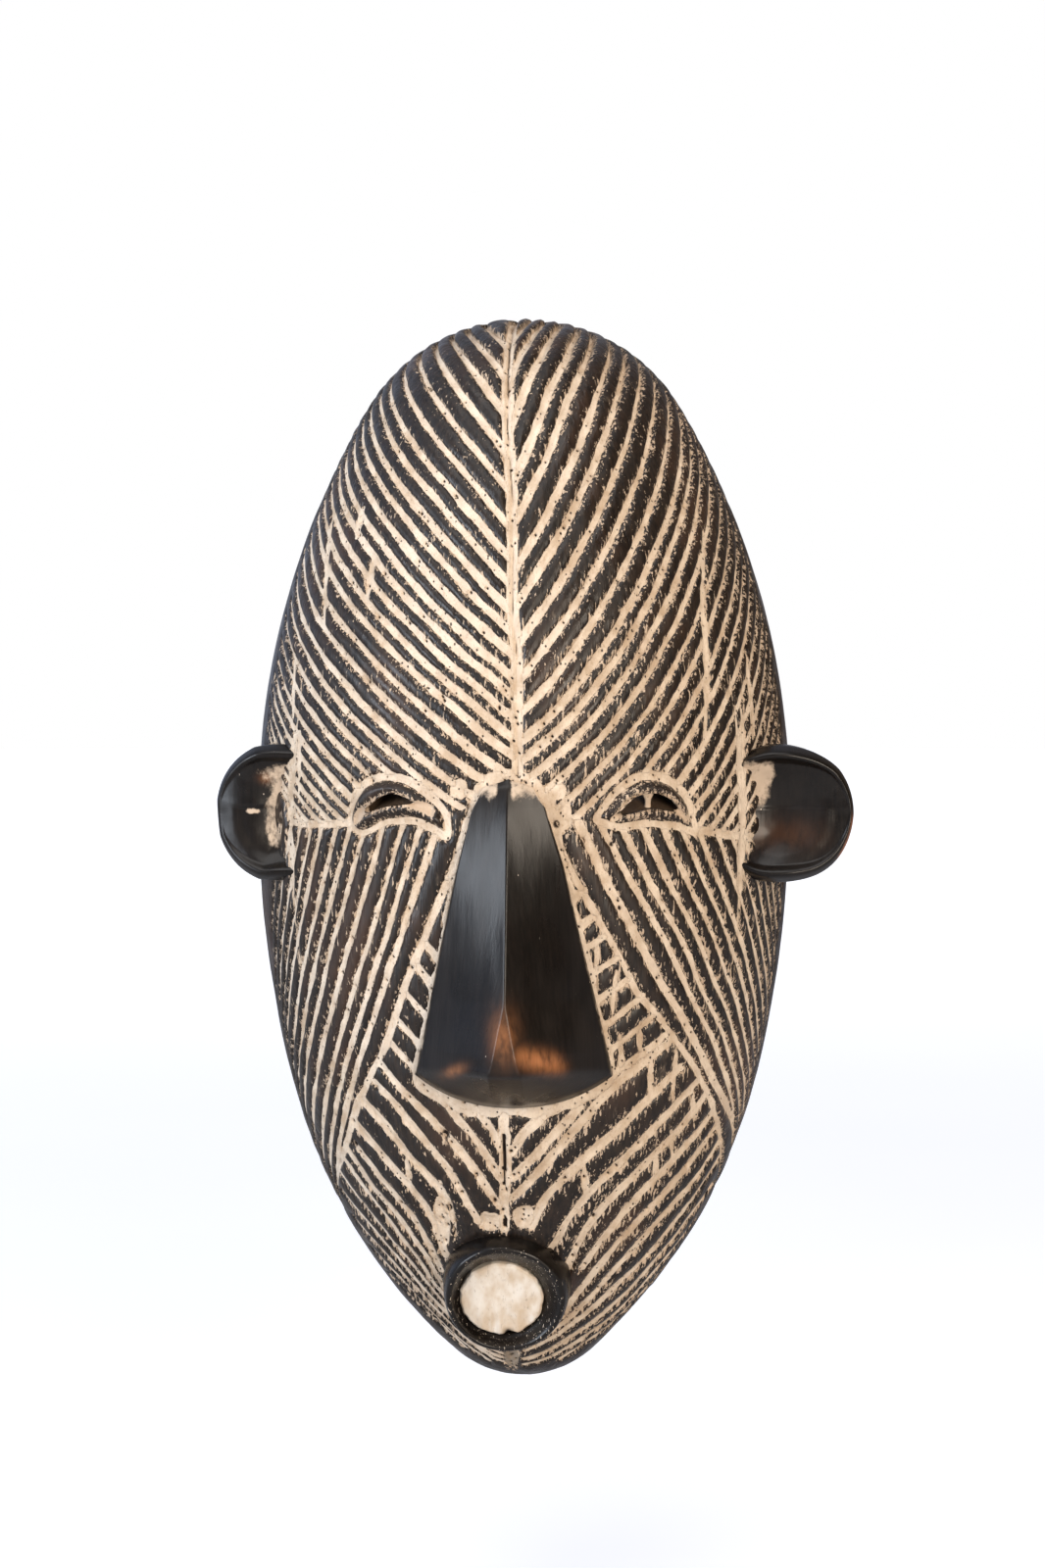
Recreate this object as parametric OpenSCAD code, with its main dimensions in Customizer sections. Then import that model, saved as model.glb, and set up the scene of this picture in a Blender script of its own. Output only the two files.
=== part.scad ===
// Carved wooden face mask with clay-packed cut lines.
// Front faces -Y, top is +Z, the back rim lies in the plane y = 0.
// The origin is the mouth of the hanging hole, in the back rim at the top.

/* [Face outline] */
// Height from chin to crown
face_h = 304; // [290:1:315]
// Half of the width at the widest level
half_w = 76; // [72:1:80]
// Height of the widest level above the chin
widest_z = 164; // [158:1:170]
// Radius of the crown
crown_r = 52; // [48:1:56]
// Radius of the chin
chin_r = 30; // [27:1:33]
// Radius of the upper cheek, below the widest level
cheek_r = 330; // [300:10:360]
// How far the upper cheek arc turns, in degrees
cheek_turn = 13; // [11:1:15]

/* [Shell] */
// Depth of the straight rim behind the domed face
rim_d = 14; // [12:1:18]
// Thickness of the wooden wall
wall = 13; // [11:1:14]
// Depth of the cut lines
cut_d = 1.6; // [1:0.1:2.5]
// Width of the cut lines
cut_w = 2.8; // [2:0.1:3.4]
// Depth of the smooth band between the rim and the cut lines
band_d = 24; // [18:1:30]

/* [Brow and temples] */
// Drop from one brow line to the next along the midline
brow_pitch = 12.4; // [9:0.1:16]
// Slope of the brow lines on the left side, in degrees
brow_slope_left = 47; // [40:1:52]
// Slope of the brow lines on the right side, in degrees
brow_slope_right = 54; // [48:1:58]
// Backward tilt of the brow cuts, in degrees
brow_tilt = 28; // [15:1:32]

/* [Cheeks and jaw] */
// Side step from one cheek line to the next
cheek_pitch = 7; // [5:0.1:10]
// Slope of the cheek lines, in degrees
cheek_slope = 66; // [60:1:70]
// Backward tilt of the cheek cuts, in degrees
cheek_tilt = 12; // [5:1:20]
// Drop from one jaw line to the next
jaw_pitch = 12.5; // [9:0.1:16]
// Slope of the jaw lines, in degrees
jaw_slope = 44; // [38:1:50]
// Backward tilt of the jaw cuts, in degrees
jaw_tilt = 20; // [10:1:30]

/* [Eyes] */
// Distance from the midline to the centre of an eye
eye_x = 32; // [30:0.5:34]
// Height of the eye corners above the chin
eye_z = 167; // [164:0.5:170]
// Half length of the raised lid
lid_half_l = 13.5; // [12.5:0.5:15]
// Half height of the raised lid
lid_half_h = 7; // [6:0.5:8]
// How far the lid stands proud
lid_proud = 1.6; // [1:0.1:2.5]
// Half length of the slot
slot_half_l = 10; // [9:0.5:11]
// Half height of the slot
slot_half_h = 2.9; // [2.7:0.1:3.2]

/* [Nose] */
// Height of the nose's top above the chin
nose_top_z = 173; // [171:1:175]
// Height of the nose's lower edge above the chin
nose_low_z = 93; // [91:1:95]
// Half width at the top
nose_top_half = 7.5; // [6.5:0.5:8.5]
// Half width at the wings
nose_low_half = 26.5; // [25:0.5:28]
// Height of the tip above the chin
tip_z = 114; // [111:1:117]
// How far the tip stands proud of the face
tip_proud = 22; // [18:1:25]
// Half width of the blunt end below the tip
tip_half = 11; // [9:0.5:13]

/* [Mouth] */
// Sideways place of the mouth
mouth_x = -2.5; // [-4:0.5:0]
// Height of the mouth above the chin
mouth_z = 33; // [32:0.5:34]
// Distance of the ring's front face in front of the back plane
mouth_y = 65; // [63:0.5:67]
// Downward tilt of the mouth, in degrees
mouth_tilt = 20; // [16:1:22]
// Outer radius of the ring
ring_r = 17; // [16:0.5:18]
// Radius of the white disc
disc_r = 12; // [11:0.5:12.5]
// Depth of the disc's face inside the ring
disc_sunk = 2; // [1:0.5:3]
// Length of the disc's plug
disc_l = 14.5; // [12:0.5:15]

/* [Ears] */
// Radius of an ear
ear_r = 18.7; // [17:0.1:20]
// Height of the ears above the chin
ear_z = 165.5; // [163:0.5:168]
// Centre of the left ear from the midline
ear_x_left = 63.7; // [62:0.1:66]
// Centre of the right ear from the midline
ear_x_right = 72; // [70:0.5:73]
// Distance of an ear's front in front of the back plane
ear_front = 56; // [54:1:58]
// Thickness of an ear
ear_t = 16; // [14:1:18]
// Width of an ear's raised rim
ear_rim = 4.5; // [3.5:0.5:6]
// Depth of an ear's dish
ear_dish = 4; // [3:0.5:5]

/* [Pegs and holes] */
// Radius of the nose pegs
nose_peg_r = 3.5; // [3:0.1:4]
// Radius of the ear pegs
ear_peg_r = 3; // [2.5:0.1:3.5]
// Radius of the hanging hole
hang_r = 2.2; // [1.8:0.1:2.5]
// Depth of the hanging hole
hang_d = 12; // [8:1:13]
// Drop from the crown to the hanging hole
hang_drop = 7; // [6:0.5:7.5]
// Radius of the strap holes
strap_r = 2; // [1.5:0.1:2.5]
// Height of the strap holes above the chin
strap_z = 128; // [120:1:136]

/* [Hidden] */
$fn = 144;

LEFT = -1;
RIGHT = 1;
big = 400;
arc_step = 6;
hang_z = face_h - hang_drop;

// Centres and radii of the outline's arcs, each touching the next without a corner
crown_c = [0, face_h - crown_r];
temple_r = (half_w ^ 2 + (crown_c.y - widest_z) ^ 2 - crown_r ^ 2) / (2 * (half_w - crown_r));
temple_c = [half_w - temple_r, widest_z];
temple_turn = atan2(crown_c.y - temple_c.y, crown_c.x - temple_c.x);
cheek_c = [half_w - cheek_r, widest_z];
cheek_dir = [cos(cheek_turn), -sin(cheek_turn)];
chin_c = [0, chin_r];
chin_gap = cheek_c + cheek_r * cheek_dir - chin_c;
jaw_r = (chin_gap * chin_gap - chin_r ^ 2) / (2 * (chin_gap * cheek_dir - chin_r));
jaw_c = cheek_c + (cheek_r - jaw_r) * cheek_dir;
jaw_turn = atan2(jaw_c.y - chin_c.y, chin_c.x - jaw_c.x);

eye_line_z = eye_z - 1;
crown_zone_z = 262;
side_reach = 100;
brow_start_z = [284, 96];
jaw_start_z = [82, -20];
lean_z = [60, 280];
cheek_lines = 9;
cheek_rise = 30;
jaw_corner = [15, -36];
jaw_end = [2, 5];
nose_corner = 2;
ridge_rise = 3;
tip_edge = [5, 9];
side_edge = 4;
low_bevel = [8, 6];
border_in = [13, 157];
border_out = [53, 62];
border_w = cut_w / 2;
ear_peg_gap = 8;
ear_peg_l = 17;
ear_peg_y = 46.5;
ear_peg_x = 60;
nose_peg_l = 16;
nose_peg_z = [112, 142];
nose_peg_y = [95, 96];
strap_y = 7;

// Points along an arc from angle a to angle b, going down in angle
function arc(c, r, a, b) =
    let (n = max(1, round((a - b) / arc_step)))
    [for (i = [0 : n - 1]) c + r * [cos(a + (b - a) * i / n), sin(a + (b - a) * i / n)]];

// The outline's right half, from crown to chin, set inwards by inset
function half_outline(inset) = concat(
    arc(crown_c, crown_r - inset, 90, temple_turn),
    arc(temple_c, temple_r - inset, temple_turn, 0),
    arc(cheek_c, cheek_r - inset, 0, -cheek_turn),
    arc(jaw_c, jaw_r - inset, -cheek_turn, -jaw_turn),
    arc(chin_c, chin_r - inset, -jaw_turn, -90),
    [[0, inset]]
);

// Half width of the outline at height z
function reach(z) = z > crown_c.y ? sqrt(crown_r ^ 2 - (z - crown_c.y) ^ 2)
    : z > widest_z ? temple_c.x + sqrt(temple_r ^ 2 - (z - widest_z) ^ 2)
    : z > cheek_c.y - cheek_r * sin(cheek_turn) ? cheek_c.x + sqrt(cheek_r ^ 2 - (z - widest_z) ^ 2)
    : jaw_c.x + sqrt(jaw_r ^ 2 - (z - jaw_c.y) ^ 2);

// Depth of the face on the midline at height z
function face_y(z) = -rim_d - reach(z);

// Moves the chin-based frame so that the hanging hole's mouth is the origin
module placed() {
    translate([0, 0, -hang_z]) children();
}

// Carves a front-view outline through the whole depth
module through(depth = big) {
    rotate([90, 0, 0]) linear_extrude(depth) children();
}

// The face as a solid block, set inwards by inset and run back past the rim by extra
module block(inset, extra = 0) {
    half = half_outline(inset);
    mirrored = [for (i = [len(half) - 2 : -1 : 1]) [-half[i].x, half[i].y]];
    translate([0, extra, 0]) through(rim_d + extra) polygon(concat(half, mirrored));
    translate([0, -rim_d, 0]) rotate([0, 0, 180]) rotate_extrude(angle = 180) polygon(half);
}

// The thin outer layer that the cut lines reach into
module skin() {
    difference() {
        block(0);
        block(cut_d, 1);
    }
}

// Pointed oval made of two arcs
module almond(half_l, half_h) {
    r = (half_l ^ 2 + half_h ^ 2) / (2 * half_h);
    intersection() {
        translate([0, half_h - r]) circle(r);
        translate([0, r - half_h]) circle(r);
    }
}

module at_eye(side) {
    translate([side * eye_x, eye_z]) children();
}

// Front-view outline of the nose, let out by margin
module nose_outline(margin) {
    polygon([
        [-nose_top_half - margin, nose_top_z + margin],
        [nose_top_half + margin, nose_top_z + margin],
        [nose_low_half + margin, nose_low_z + nose_corner],
        [nose_low_half - nose_corner, nose_low_z - margin],
        [-nose_low_half + nose_corner, nose_low_z - margin],
        [-nose_low_half - margin, nose_low_z + nose_corner]
    ]);
}

module ear_outline(side, margin) {
    x = side < 0 ? ear_x_left : ear_x_right;
    translate([side * x, ear_z]) circle(ear_r + margin);
}

// Places its children on the mouth's axis, with +Z out of the mouth
module at_mouth() {
    translate([mouth_x, -mouth_y, mouth_z]) rotate([90 + mouth_tilt, 0, 0]) children();
}

// One flat cut: it climbs away from the midline by slope and leans back by tilt
module cut(side, z, slope, tilt) {
    translate([0, face_y(min(max(z, lean_z[0]), lean_z[1])), z])
        rotate([tilt, -side * slope, 0])
            cube([big, big, cut_w], center = true);
}

// A plain band of the front view, from the midline out, between two heights
module half_front(side, low, high) {
    translate([side > 0 ? cut_w / 2 : -big, low]) square([big - cut_w / 2, high - low]);
}

// Everything that the straight lines stop at
module kept_clear() {
    through() nose_outline(cut_w);
    for (side = [LEFT, RIGHT]) {
        through() at_eye(side) almond(lid_half_l + cut_w, lid_half_h + cut_w);
        translate([0, -ear_front + ear_t, 0]) through(big) ear_outline(side, cut_w);
    }
    at_mouth() cylinder(h = big, r = ring_r, center = true);
}

// Where cut lines may run: the front of the dome, and the crown back to the rim
module zone() {
    translate([-big, -big - rim_d - band_d, -big]) cube([2 * big, big, 2 * big]);
    translate([-big, -big - 1, crown_zone_z]) cube([2 * big, big, big]);
}

// The oblique border between a cheek and the jaw
module border_line(side, grow) {
    polygon([
        [side * (border_in.x + grow), border_in.y],
        [side * (border_in.x - grow), border_in.y],
        [side * (border_out.x - grow), border_out.y],
        [side * (border_out.x + grow), border_out.y]
    ]);
}

// The part of the front view outside the border line
module cheek_area(side) {
    polygon([
        [side * (border_in.x + border_w), border_in.y],
        [side * (border_out.x + border_w), border_out.y],
        [side * side_reach, border_out.y],
        [side * side_reach, eye_line_z - border_w],
        [side * (eye_x + lid_half_l), eye_line_z - border_w],
        [side * eye_x, eye_line_z - lid_half_h]
    ]);
}

// The part of the front view below the border line
module jaw_area(side) {
    polygon([
        [side * border_w, nose_low_z - cut_w],
        [side * nose_low_half, nose_low_z],
        [side * (border_in.x + jaw_corner.x - border_w), border_in.y + jaw_corner.y],
        [side * (border_out.x - border_w - jaw_end.x), border_out.y + jaw_end.y],
        [side * (border_out.x - border_w - jaw_end.x), border_out.y - cut_w],
        [side * side_reach, border_out.y - cut_w],
        [side * side_reach, -jaw_end.y],
        [side * border_w, -jaw_end.y]
    ]);
}

module brow_cuts(side) {
    slope = side < 0 ? brow_slope_left : brow_slope_right;
    difference() {
        intersection() {
            for (z = [brow_start_z[0] : -brow_pitch : brow_start_z[1]]) cut(side, z, slope, brow_tilt);
            through() half_front(side, eye_line_z + border_w, face_h + lid_half_h);
            zone();
        }
        kept_clear();
    }
}

module cheek_cuts(side) {
    difference() {
        intersection() {
            for (i = [1 : cheek_lines])
                cut(side, border_in.y + cheek_rise + i * cheek_pitch * tan(cheek_slope), -cheek_slope, -cheek_tilt);
            through() cheek_area(side);
            through() half_front(side, border_out.y + cut_w, face_h);
            zone();
        }
        kept_clear();
    }
}

module jaw_cuts(side) {
    difference() {
        intersection() {
            for (z = [jaw_start_z[0] : -jaw_pitch : jaw_start_z[1]]) cut(side, z, jaw_slope, jaw_tilt);
            through() jaw_area(side);
            zone();
        }
        kept_clear();
    }
}

module midline_cuts() {
    through() translate([-cut_w / 2, nose_top_z + cut_w]) square([cut_w, face_h]);
    difference() {
        through() translate([-cut_w / 2, mouth_z]) square([cut_w, nose_low_z - cut_w - mouth_z]);
        at_mouth() cylinder(h = big, r = ring_r, center = true);
    }
}

module nose_bed_cut() {
    through() difference() {
        nose_outline(cut_w);
        nose_outline(0);
    }
}

// The cut round a lid, and the line from the lid's outer corner to the ear
module eye_cuts(side) {
    through() at_eye(side) difference() {
        almond(lid_half_l + cut_w, lid_half_h + cut_w);
        almond(lid_half_l, lid_half_h);
    }
    difference() {
        through() {
            translate([side > 0 ? eye_x : -big, eye_line_z - border_w]) square([big - eye_x, cut_w]);
            border_line(side, border_w);
        }
        kept_clear();
    }
}

module ear_bed_cut(side) {
    translate([0, -ear_front + ear_t, 0]) through(big) difference() {
        ear_outline(side, cut_w);
        ear_outline(side, 0);
    }
}

module ear_pegs(side) {
    for (z = [-ear_peg_gap, ear_peg_gap])
        translate([side * ear_peg_x, -ear_peg_y, ear_z + z])
            rotate([0, side * 90, 0]) cylinder(h = ear_peg_l, r = ear_peg_r);
}

module peg_row() {
    for (i = [0, 1])
        translate([0, nose_peg_l - nose_peg_y[i], nose_peg_z[i]])
            rotate([90, 0, 0]) cylinder(h = nose_peg_l, r = nose_peg_r);
}

module mask_shell() {
    color("#2b211d") placed() difference() {
        union() {
            block(0);
            intersection() {
                block(-lid_proud);
                for (side = [LEFT, RIGHT]) through() at_eye(side) almond(lid_half_l, lid_half_h);
            }
        }
        block(wall, 1);
        for (side = [LEFT, RIGHT]) {
            through() at_eye(side) almond(slot_half_l, slot_half_h);
            ear_pegs(side);
            translate([side * half_w, -strap_y, strap_z]) rotate([0, 90, 0])
                cylinder(h = 4 * wall, r = strap_r, center = true);
        }
        peg_row();
        at_mouth() translate([0, 0, -disc_sunk - disc_l]) cylinder(h = big, r = disc_r);
        translate([0, 0, hang_z]) rotate([90, 0, 0]) cylinder(h = hang_d, r = hang_r);
        intersection() {
            skin();
            union() {
                midline_cuts();
                nose_bed_cut();
                for (side = [LEFT, RIGHT]) {
                    brow_cuts(side);
                    cheek_cuts(side);
                    jaw_cuts(side);
                    eye_cuts(side);
                    intersection() {
                        ear_bed_cut(side);
                        zone();
                    }
                }
            }
        }
    }
}

// Wedge nose with a central ridge, a blunt end and a bevel down to its lower edge
module nose_wedge() {
    back = 20;
    top_y = face_y(nose_top_z);
    low_y = face_y(nose_low_z);
    tip_y = face_y(tip_z) - tip_proud;
    points = [
        [-nose_top_half, top_y + back, nose_top_z],
        [nose_top_half, top_y + back, nose_top_z],
        [nose_low_half, low_y + 2 * back, nose_low_z + nose_corner],
        [nose_low_half - nose_corner, low_y + 2 * back, nose_low_z],
        [-nose_low_half + nose_corner, low_y + 2 * back, nose_low_z],
        [-nose_low_half, low_y + 2 * back, nose_low_z + nose_corner],
        [-nose_top_half, top_y, nose_top_z],
        [nose_top_half, top_y, nose_top_z],
        [0, top_y - ridge_rise, nose_top_z],
        [0, tip_y, tip_z],
        [-tip_half, tip_y + tip_edge.x, nose_low_z + tip_edge.y],
        [tip_half, tip_y + tip_edge.x, nose_low_z + tip_edge.y],
        [nose_low_half, low_y + side_edge, nose_low_z + side_edge],
        [-nose_low_half, low_y + side_edge, nose_low_z + side_edge],
        [nose_low_half - low_bevel.x, low_y - low_bevel.y, nose_low_z],
        [-nose_low_half + low_bevel.x, low_y - low_bevel.y, nose_low_z]
    ];
    // One many-cornered face only carries the corners: the hull makes the solid
    hull() polyhedron(points = points, faces = [[for (i = [0 : len(points) - 1]) i]]);
}

module nose() {
    color("#231a1c") placed() difference() {
        nose_wedge();
        block(0);
        peg_row();
    }
}

module ear(side) {
    x = side < 0 ? ear_x_left : ear_x_right;
    dish_r = (ear_r ^ 2 + ear_dish ^ 2) / (2 * ear_dish);
    placed() difference() {
        translate([0, -ear_front + ear_t, 0]) through(ear_t) ear_outline(side, 0);
        block(0);
        translate([side * x, -ear_front - dish_r + ear_dish, ear_z]) sphere(dish_r - ear_rim / 4);
        ear_pegs(side);
    }
}

module left_ear() {
    color("#2e2a33") ear(LEFT);
}

module right_ear() {
    color("#2e2420") ear(RIGHT);
}

module mouth_ring() {
    color("#1e1716") placed() difference() {
        at_mouth() translate([0, 0, -2 * ring_r]) cylinder(h = 2 * ring_r, r = ring_r);
        block(0);
        at_mouth() translate([0, 0, -3 * ring_r]) cylinder(h = 4 * ring_r, r = disc_r);
    }
}

module mouth_disc() {
    color("#efe3d0") placed() at_mouth()
        translate([0, 0, -disc_sunk - disc_l]) cylinder(h = disc_l, r = disc_r);
}

module nose_pegs() {
    color("#8a6a45") placed() peg_row();
}

module left_ear_pegs() {
    color("#8a6a45") placed() ear_pegs(LEFT);
}

module right_ear_pegs() {
    color("#8a6a45") placed() ear_pegs(RIGHT);
}

// Clay packed flush into the cuts that its children describe
module clay() {
    color("#e9d9bf") placed() intersection() {
        skin();
        children();
    }
}

module clay_midline() {
    clay() midline_cuts();
}

module clay_nose_bed() {
    clay() nose_bed_cut();
}

module clay_left_brow() {
    clay() brow_cuts(LEFT);
}

module clay_right_brow() {
    clay() brow_cuts(RIGHT);
}

module clay_left_eye() {
    clay() eye_cuts(LEFT);
}

module clay_right_eye() {
    clay() eye_cuts(RIGHT);
}

module clay_left_cheek() {
    clay() cheek_cuts(LEFT);
}

module clay_right_cheek() {
    clay() cheek_cuts(RIGHT);
}

module clay_left_jaw() {
    clay() jaw_cuts(LEFT);
}

module clay_right_jaw() {
    clay() jaw_cuts(RIGHT);
}

module clay_left_ear_bed() {
    clay() intersection() {
        ear_bed_cut(LEFT);
        zone();
    }
}

module clay_right_ear_bed() {
    clay() intersection() {
        ear_bed_cut(RIGHT);
        zone();
    }
}

mask_shell();
nose();
left_ear();
right_ear();
mouth_ring();
mouth_disc();
nose_pegs();
left_ear_pegs();
right_ear_pegs();
clay_midline();
clay_nose_bed();
clay_left_brow();
clay_right_brow();
clay_left_eye();
clay_right_eye();
clay_left_cheek();
clay_right_cheek();
clay_left_jaw();
clay_right_jaw();
clay_left_ear_bed();
clay_right_ear_bed();
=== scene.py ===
"""Carved wooden mask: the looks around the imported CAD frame."""

import math

import bmesh
import bpy
import numpy as np
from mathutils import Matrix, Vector, kdtree


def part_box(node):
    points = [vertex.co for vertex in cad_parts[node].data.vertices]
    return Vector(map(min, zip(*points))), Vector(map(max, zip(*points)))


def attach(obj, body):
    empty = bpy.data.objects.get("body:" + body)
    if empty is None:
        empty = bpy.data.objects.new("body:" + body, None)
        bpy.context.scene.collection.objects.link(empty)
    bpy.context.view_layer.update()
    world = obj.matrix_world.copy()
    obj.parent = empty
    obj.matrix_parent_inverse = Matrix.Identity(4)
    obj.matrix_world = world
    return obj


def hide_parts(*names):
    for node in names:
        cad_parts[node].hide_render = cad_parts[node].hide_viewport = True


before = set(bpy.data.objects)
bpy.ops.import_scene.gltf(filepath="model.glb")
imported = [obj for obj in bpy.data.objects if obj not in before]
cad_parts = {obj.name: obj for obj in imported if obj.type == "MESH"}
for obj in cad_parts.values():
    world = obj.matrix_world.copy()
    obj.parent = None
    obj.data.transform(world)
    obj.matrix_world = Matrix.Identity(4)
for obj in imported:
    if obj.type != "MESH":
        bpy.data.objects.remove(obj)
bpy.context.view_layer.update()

MM = 0.001
RADIAN = math.pi / 180

# ---- the face's sizes in millimetres, with heights counted up from the chin ----
FACE_H, HALF_W, WIDE_Z, CROWN_R, CHIN_R = 304.0, 76.0, 164.0, 52.0, 30.0
CHEEK_R, CHEEK_TURN = 330.0, 13 * RADIAN
RIM_D, WALL = 14.0, 13.0
CHIN_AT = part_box("mask_shell")[0].z / MM

# ======== camera and lights ==============
CAM_AT = (39.2, -787.1, 204.3)
CAM_TURN, CAM_DROP = 3.0, 4.0
FOCAL_PX, FRAME_PX, SENSOR = 2744.5, 1600, 36.0


def at(x, y, z):
    """A point given in millimetres with z from the chin, in the row's frame."""
    return (x * MM, y * MM, (z + CHIN_AT) * MM)


def add_object(name, data):
    o = bpy.data.objects.new(name, data)
    bpy.context.scene.collection.objects.link(o)
    return o


camera = add_object("camera", bpy.data.cameras.new("camera"))
camera.location = at(*CAM_AT)
camera.rotation_euler = ((90 - CAM_DROP) * RADIAN, 0, CAM_TURN * RADIAN)
camera.data.sensor_width = SENSOR
camera.data.lens = FOCAL_PX * SENSOR / FRAME_PX
camera.data.shift_x, camera.data.shift_y = 0.0021, 0.0479
camera.data.clip_end = 100
bpy.context.scene.camera = camera
bpy.context.scene.view_settings.view_transform = "Standard"


def lamp(name, place, aim, size, watts, colour):
    light = bpy.data.lights.new(name, "AREA")
    light.shape, light.size, light.energy, light.color = "DISK", size, watts, colour
    o = add_object(name, light)
    o.location = place
    o.rotation_euler = (Vector(aim) - Vector(place)).to_track_quat("-Z", "Y").to_euler()


FACE_MID = at(0, -60, 160)
lamp("window", (-1.5, -1.0, 0.25), FACE_MID, 1.1, 29, (0.84, 0.91, 1.0))
lamp("ceiling", (-0.2, -0.8, 1.5), FACE_MID, 1.4, 14, (1.0, 0.98, 0.95))
lamp("bounce", (0.8, -1.5, 0.18), FACE_MID, 0.9, 25, (1.0, 0.88, 0.74))

# ======== node helpers ========


class Nodes:
    """Makes shader nodes and joins them: a socket goes in as a number, a tuple or another node's output."""

    def __init__(self, tree):
        self.tree = tree
        tree.nodes.clear()

    def make(self, kind, out=0, props=None, **sockets):
        n = self.tree.nodes.new(kind)
        for k, v in (props or {}).items():
            setattr(n, k, v)
        for k, v in sockets.items():
            s = n.inputs[int(k[1:])] if k[1:].isdigit() else n.inputs[k.replace("_", " ")]
            if isinstance(v, bpy.types.NodeSocket):
                self.tree.links.new(v, s)
            else:
                s.default_value = v
        return n.outputs[out]

    def end(self, kind, surface):
        """Joins the finished surface to the tree's output."""
        self.tree.links.new(surface, self.tree.nodes.new("ShaderNodeOutput" + kind).inputs[0])

    def math(self, op, a, b):
        return self.make("ShaderNodeMath", props={"operation": op}, i0=a, i1=b)

    def plus(self, a, b):
        return self.math("ADD", a, b)

    def minus(self, a, b):
        return self.math("SUBTRACT", a, b)

    def times(self, a, b):
        return self.math("MULTIPLY", a, b)

    def most(self, a, b):
        return self.math("MAXIMUM", a, b)

    def step(self, value, low, high, to_low=0.0, to_high=1.0):
        """A smooth step from to_low at low to to_high at high."""
        return self.make("ShaderNodeMapRange", props={"interpolation_type": "SMOOTHSTEP"},
                         i0=value, i1=low, i2=high, i3=to_low, i4=to_high)

    def texture(self, kind, scale, along, shift, out=0, **sockets):
        """A texture whose features are about scale millimetres, drawn out along Z by so many times."""
        size = tuple(1 / (scale * MM * s) for s in (1, 1, along))
        where = self.make("ShaderNodeTexCoord", out=3)
        moved = self.make("ShaderNodeMapping", Vector=where, Scale=size, Location=shift)
        return self.make(kind, out=out, Vector=moved, Scale=1.0, **sockets)

    def noise(self, scale, detail=2.0, rough=0.5, along=1, seed=0.0):
        shift = (seed, seed * 0.7, seed * 1.3)
        return self.texture("ShaderNodeTexNoise", scale, along, shift, Detail=detail, Roughness=rough)

    def cells(self, scale, along, seed, out=0):
        return self.texture("ShaderNodeTexVoronoi", scale, along, (seed, seed, seed), out)

    def specks(self, scale, along, seed, low, high, strength, share):
        """Small round spots, in only a share of the cells."""
        cell = self.cells(scale, along, seed)
        lot = self.cells(scale, along, seed, 1)
        return self.times(self.step(cell, low, high, strength, 0.0), self.math("LESS_THAN", lot, share))

    def mix(self, factor, a, b):
        return self.make("ShaderNodeMix", out=2, props={"data_type": "RGBA"}, i0=factor, i6=a, i7=b)

    def attribute(self, name):
        return self.make("ShaderNodeAttribute", out=2, props={"attribute_name": name})


def rgba(r, g, b):
    return (r, g, b, 1.0)


def material(name):
    m = bpy.data.materials.new(name)
    m.use_nodes = True
    return m, Nodes(m.node_tree)


def finish_material(n, colour, roughness, bump=None, bump_mm=0.1, ior=1.45, **more):
    """Ends a material with its shader and, where a height is given, its fine relief."""
    if bump is not None:
        more["Normal"] = n.make("ShaderNodeBump", Strength=1.0, Distance=bump_mm * MM, Height=bump)
    more.update(Base_Color=colour, Roughness=roughness, IOR=ior)
    n.end("Material", n.make("ShaderNodeBsdfPrincipled", **more))


# ======== world and floor ========
world = bpy.data.worlds.new("studio")
bpy.context.scene.world = world
world.use_nodes = True
w = Nodes(world.node_tree)
seen = w.make("ShaderNodeLightPath", out=0)
way = w.make("ShaderNodeTexCoord", out=0)
side = w.step(w.make("ShaderNodeSeparateXYZ", i0=way), -0.9, 0.9)
front = w.step(w.make("ShaderNodeSeparateXYZ", out=1, i0=way), -1.0, 0.6, 0.30, 0.75)
tone = w.mix(side, rgba(0.74, 0.86, 1.12), rgba(0.30, 0.23, 0.17))
shade = w.make("ShaderNodeVectorMath", props={"operation": "SCALE"}, i0=tone, Scale=front)
light_colour = w.mix(seen, shade, rgba(1.0, 1.0, 1.0))
w.end("World", w.make("ShaderNodeBackground", Color=light_colour))

FLOOR_DROP = 75.0
FLOOR_R = 9.0
FLOOR_SIDES = 48
floor_mesh = bpy.data.meshes.new("floor")
floor_turns = [k * 2 * math.pi / FLOOR_SIDES for k in range(FLOOR_SIDES)]
ring = [(FLOOR_R * math.cos(t), FLOOR_R * math.sin(t), 0) for t in floor_turns]
floor_mesh.from_pydata(ring, [], [list(range(FLOOR_SIDES))])
floor = add_object("floor", floor_mesh)
floor.location = at(0, 0, -FLOOR_DROP)
floor_mat, n = material("floor_paint")
floor_tint = n.mix(n.noise(220, 2), rgba(0.80, 0.81, 0.84), rgba(0.86, 0.86, 0.88))
seen = n.make("ShaderNodeLightPath", out=0)
floor_tint = n.mix(seen, rgba(0.55, 0.55, 0.56), floor_tint)
floor_way = n.make("ShaderNodeTexCoord", out=3)
spot = n.make("ShaderNodeVectorMath", out=1, props={"operation": "LENGTH"}, i0=floor_way)
glow = n.times(seen, n.step(spot, 0.3, 3.0, 0.40, 1.0))
finish_material(n, floor_tint, 0.6, Emission_Color=rgba(0.97, 0.98, 1.0), Emission_Strength=glow)
floor_mesh.materials.append(floor_mat)


# ======== the face's surface and its cut lines ========
def arc(centre, r, a, b, n=260):
    t = np.linspace(a, b, n)
    return np.stack([centre[0] + r * np.cos(t), centre[1] + r * np.sin(t)], -1)


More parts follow.
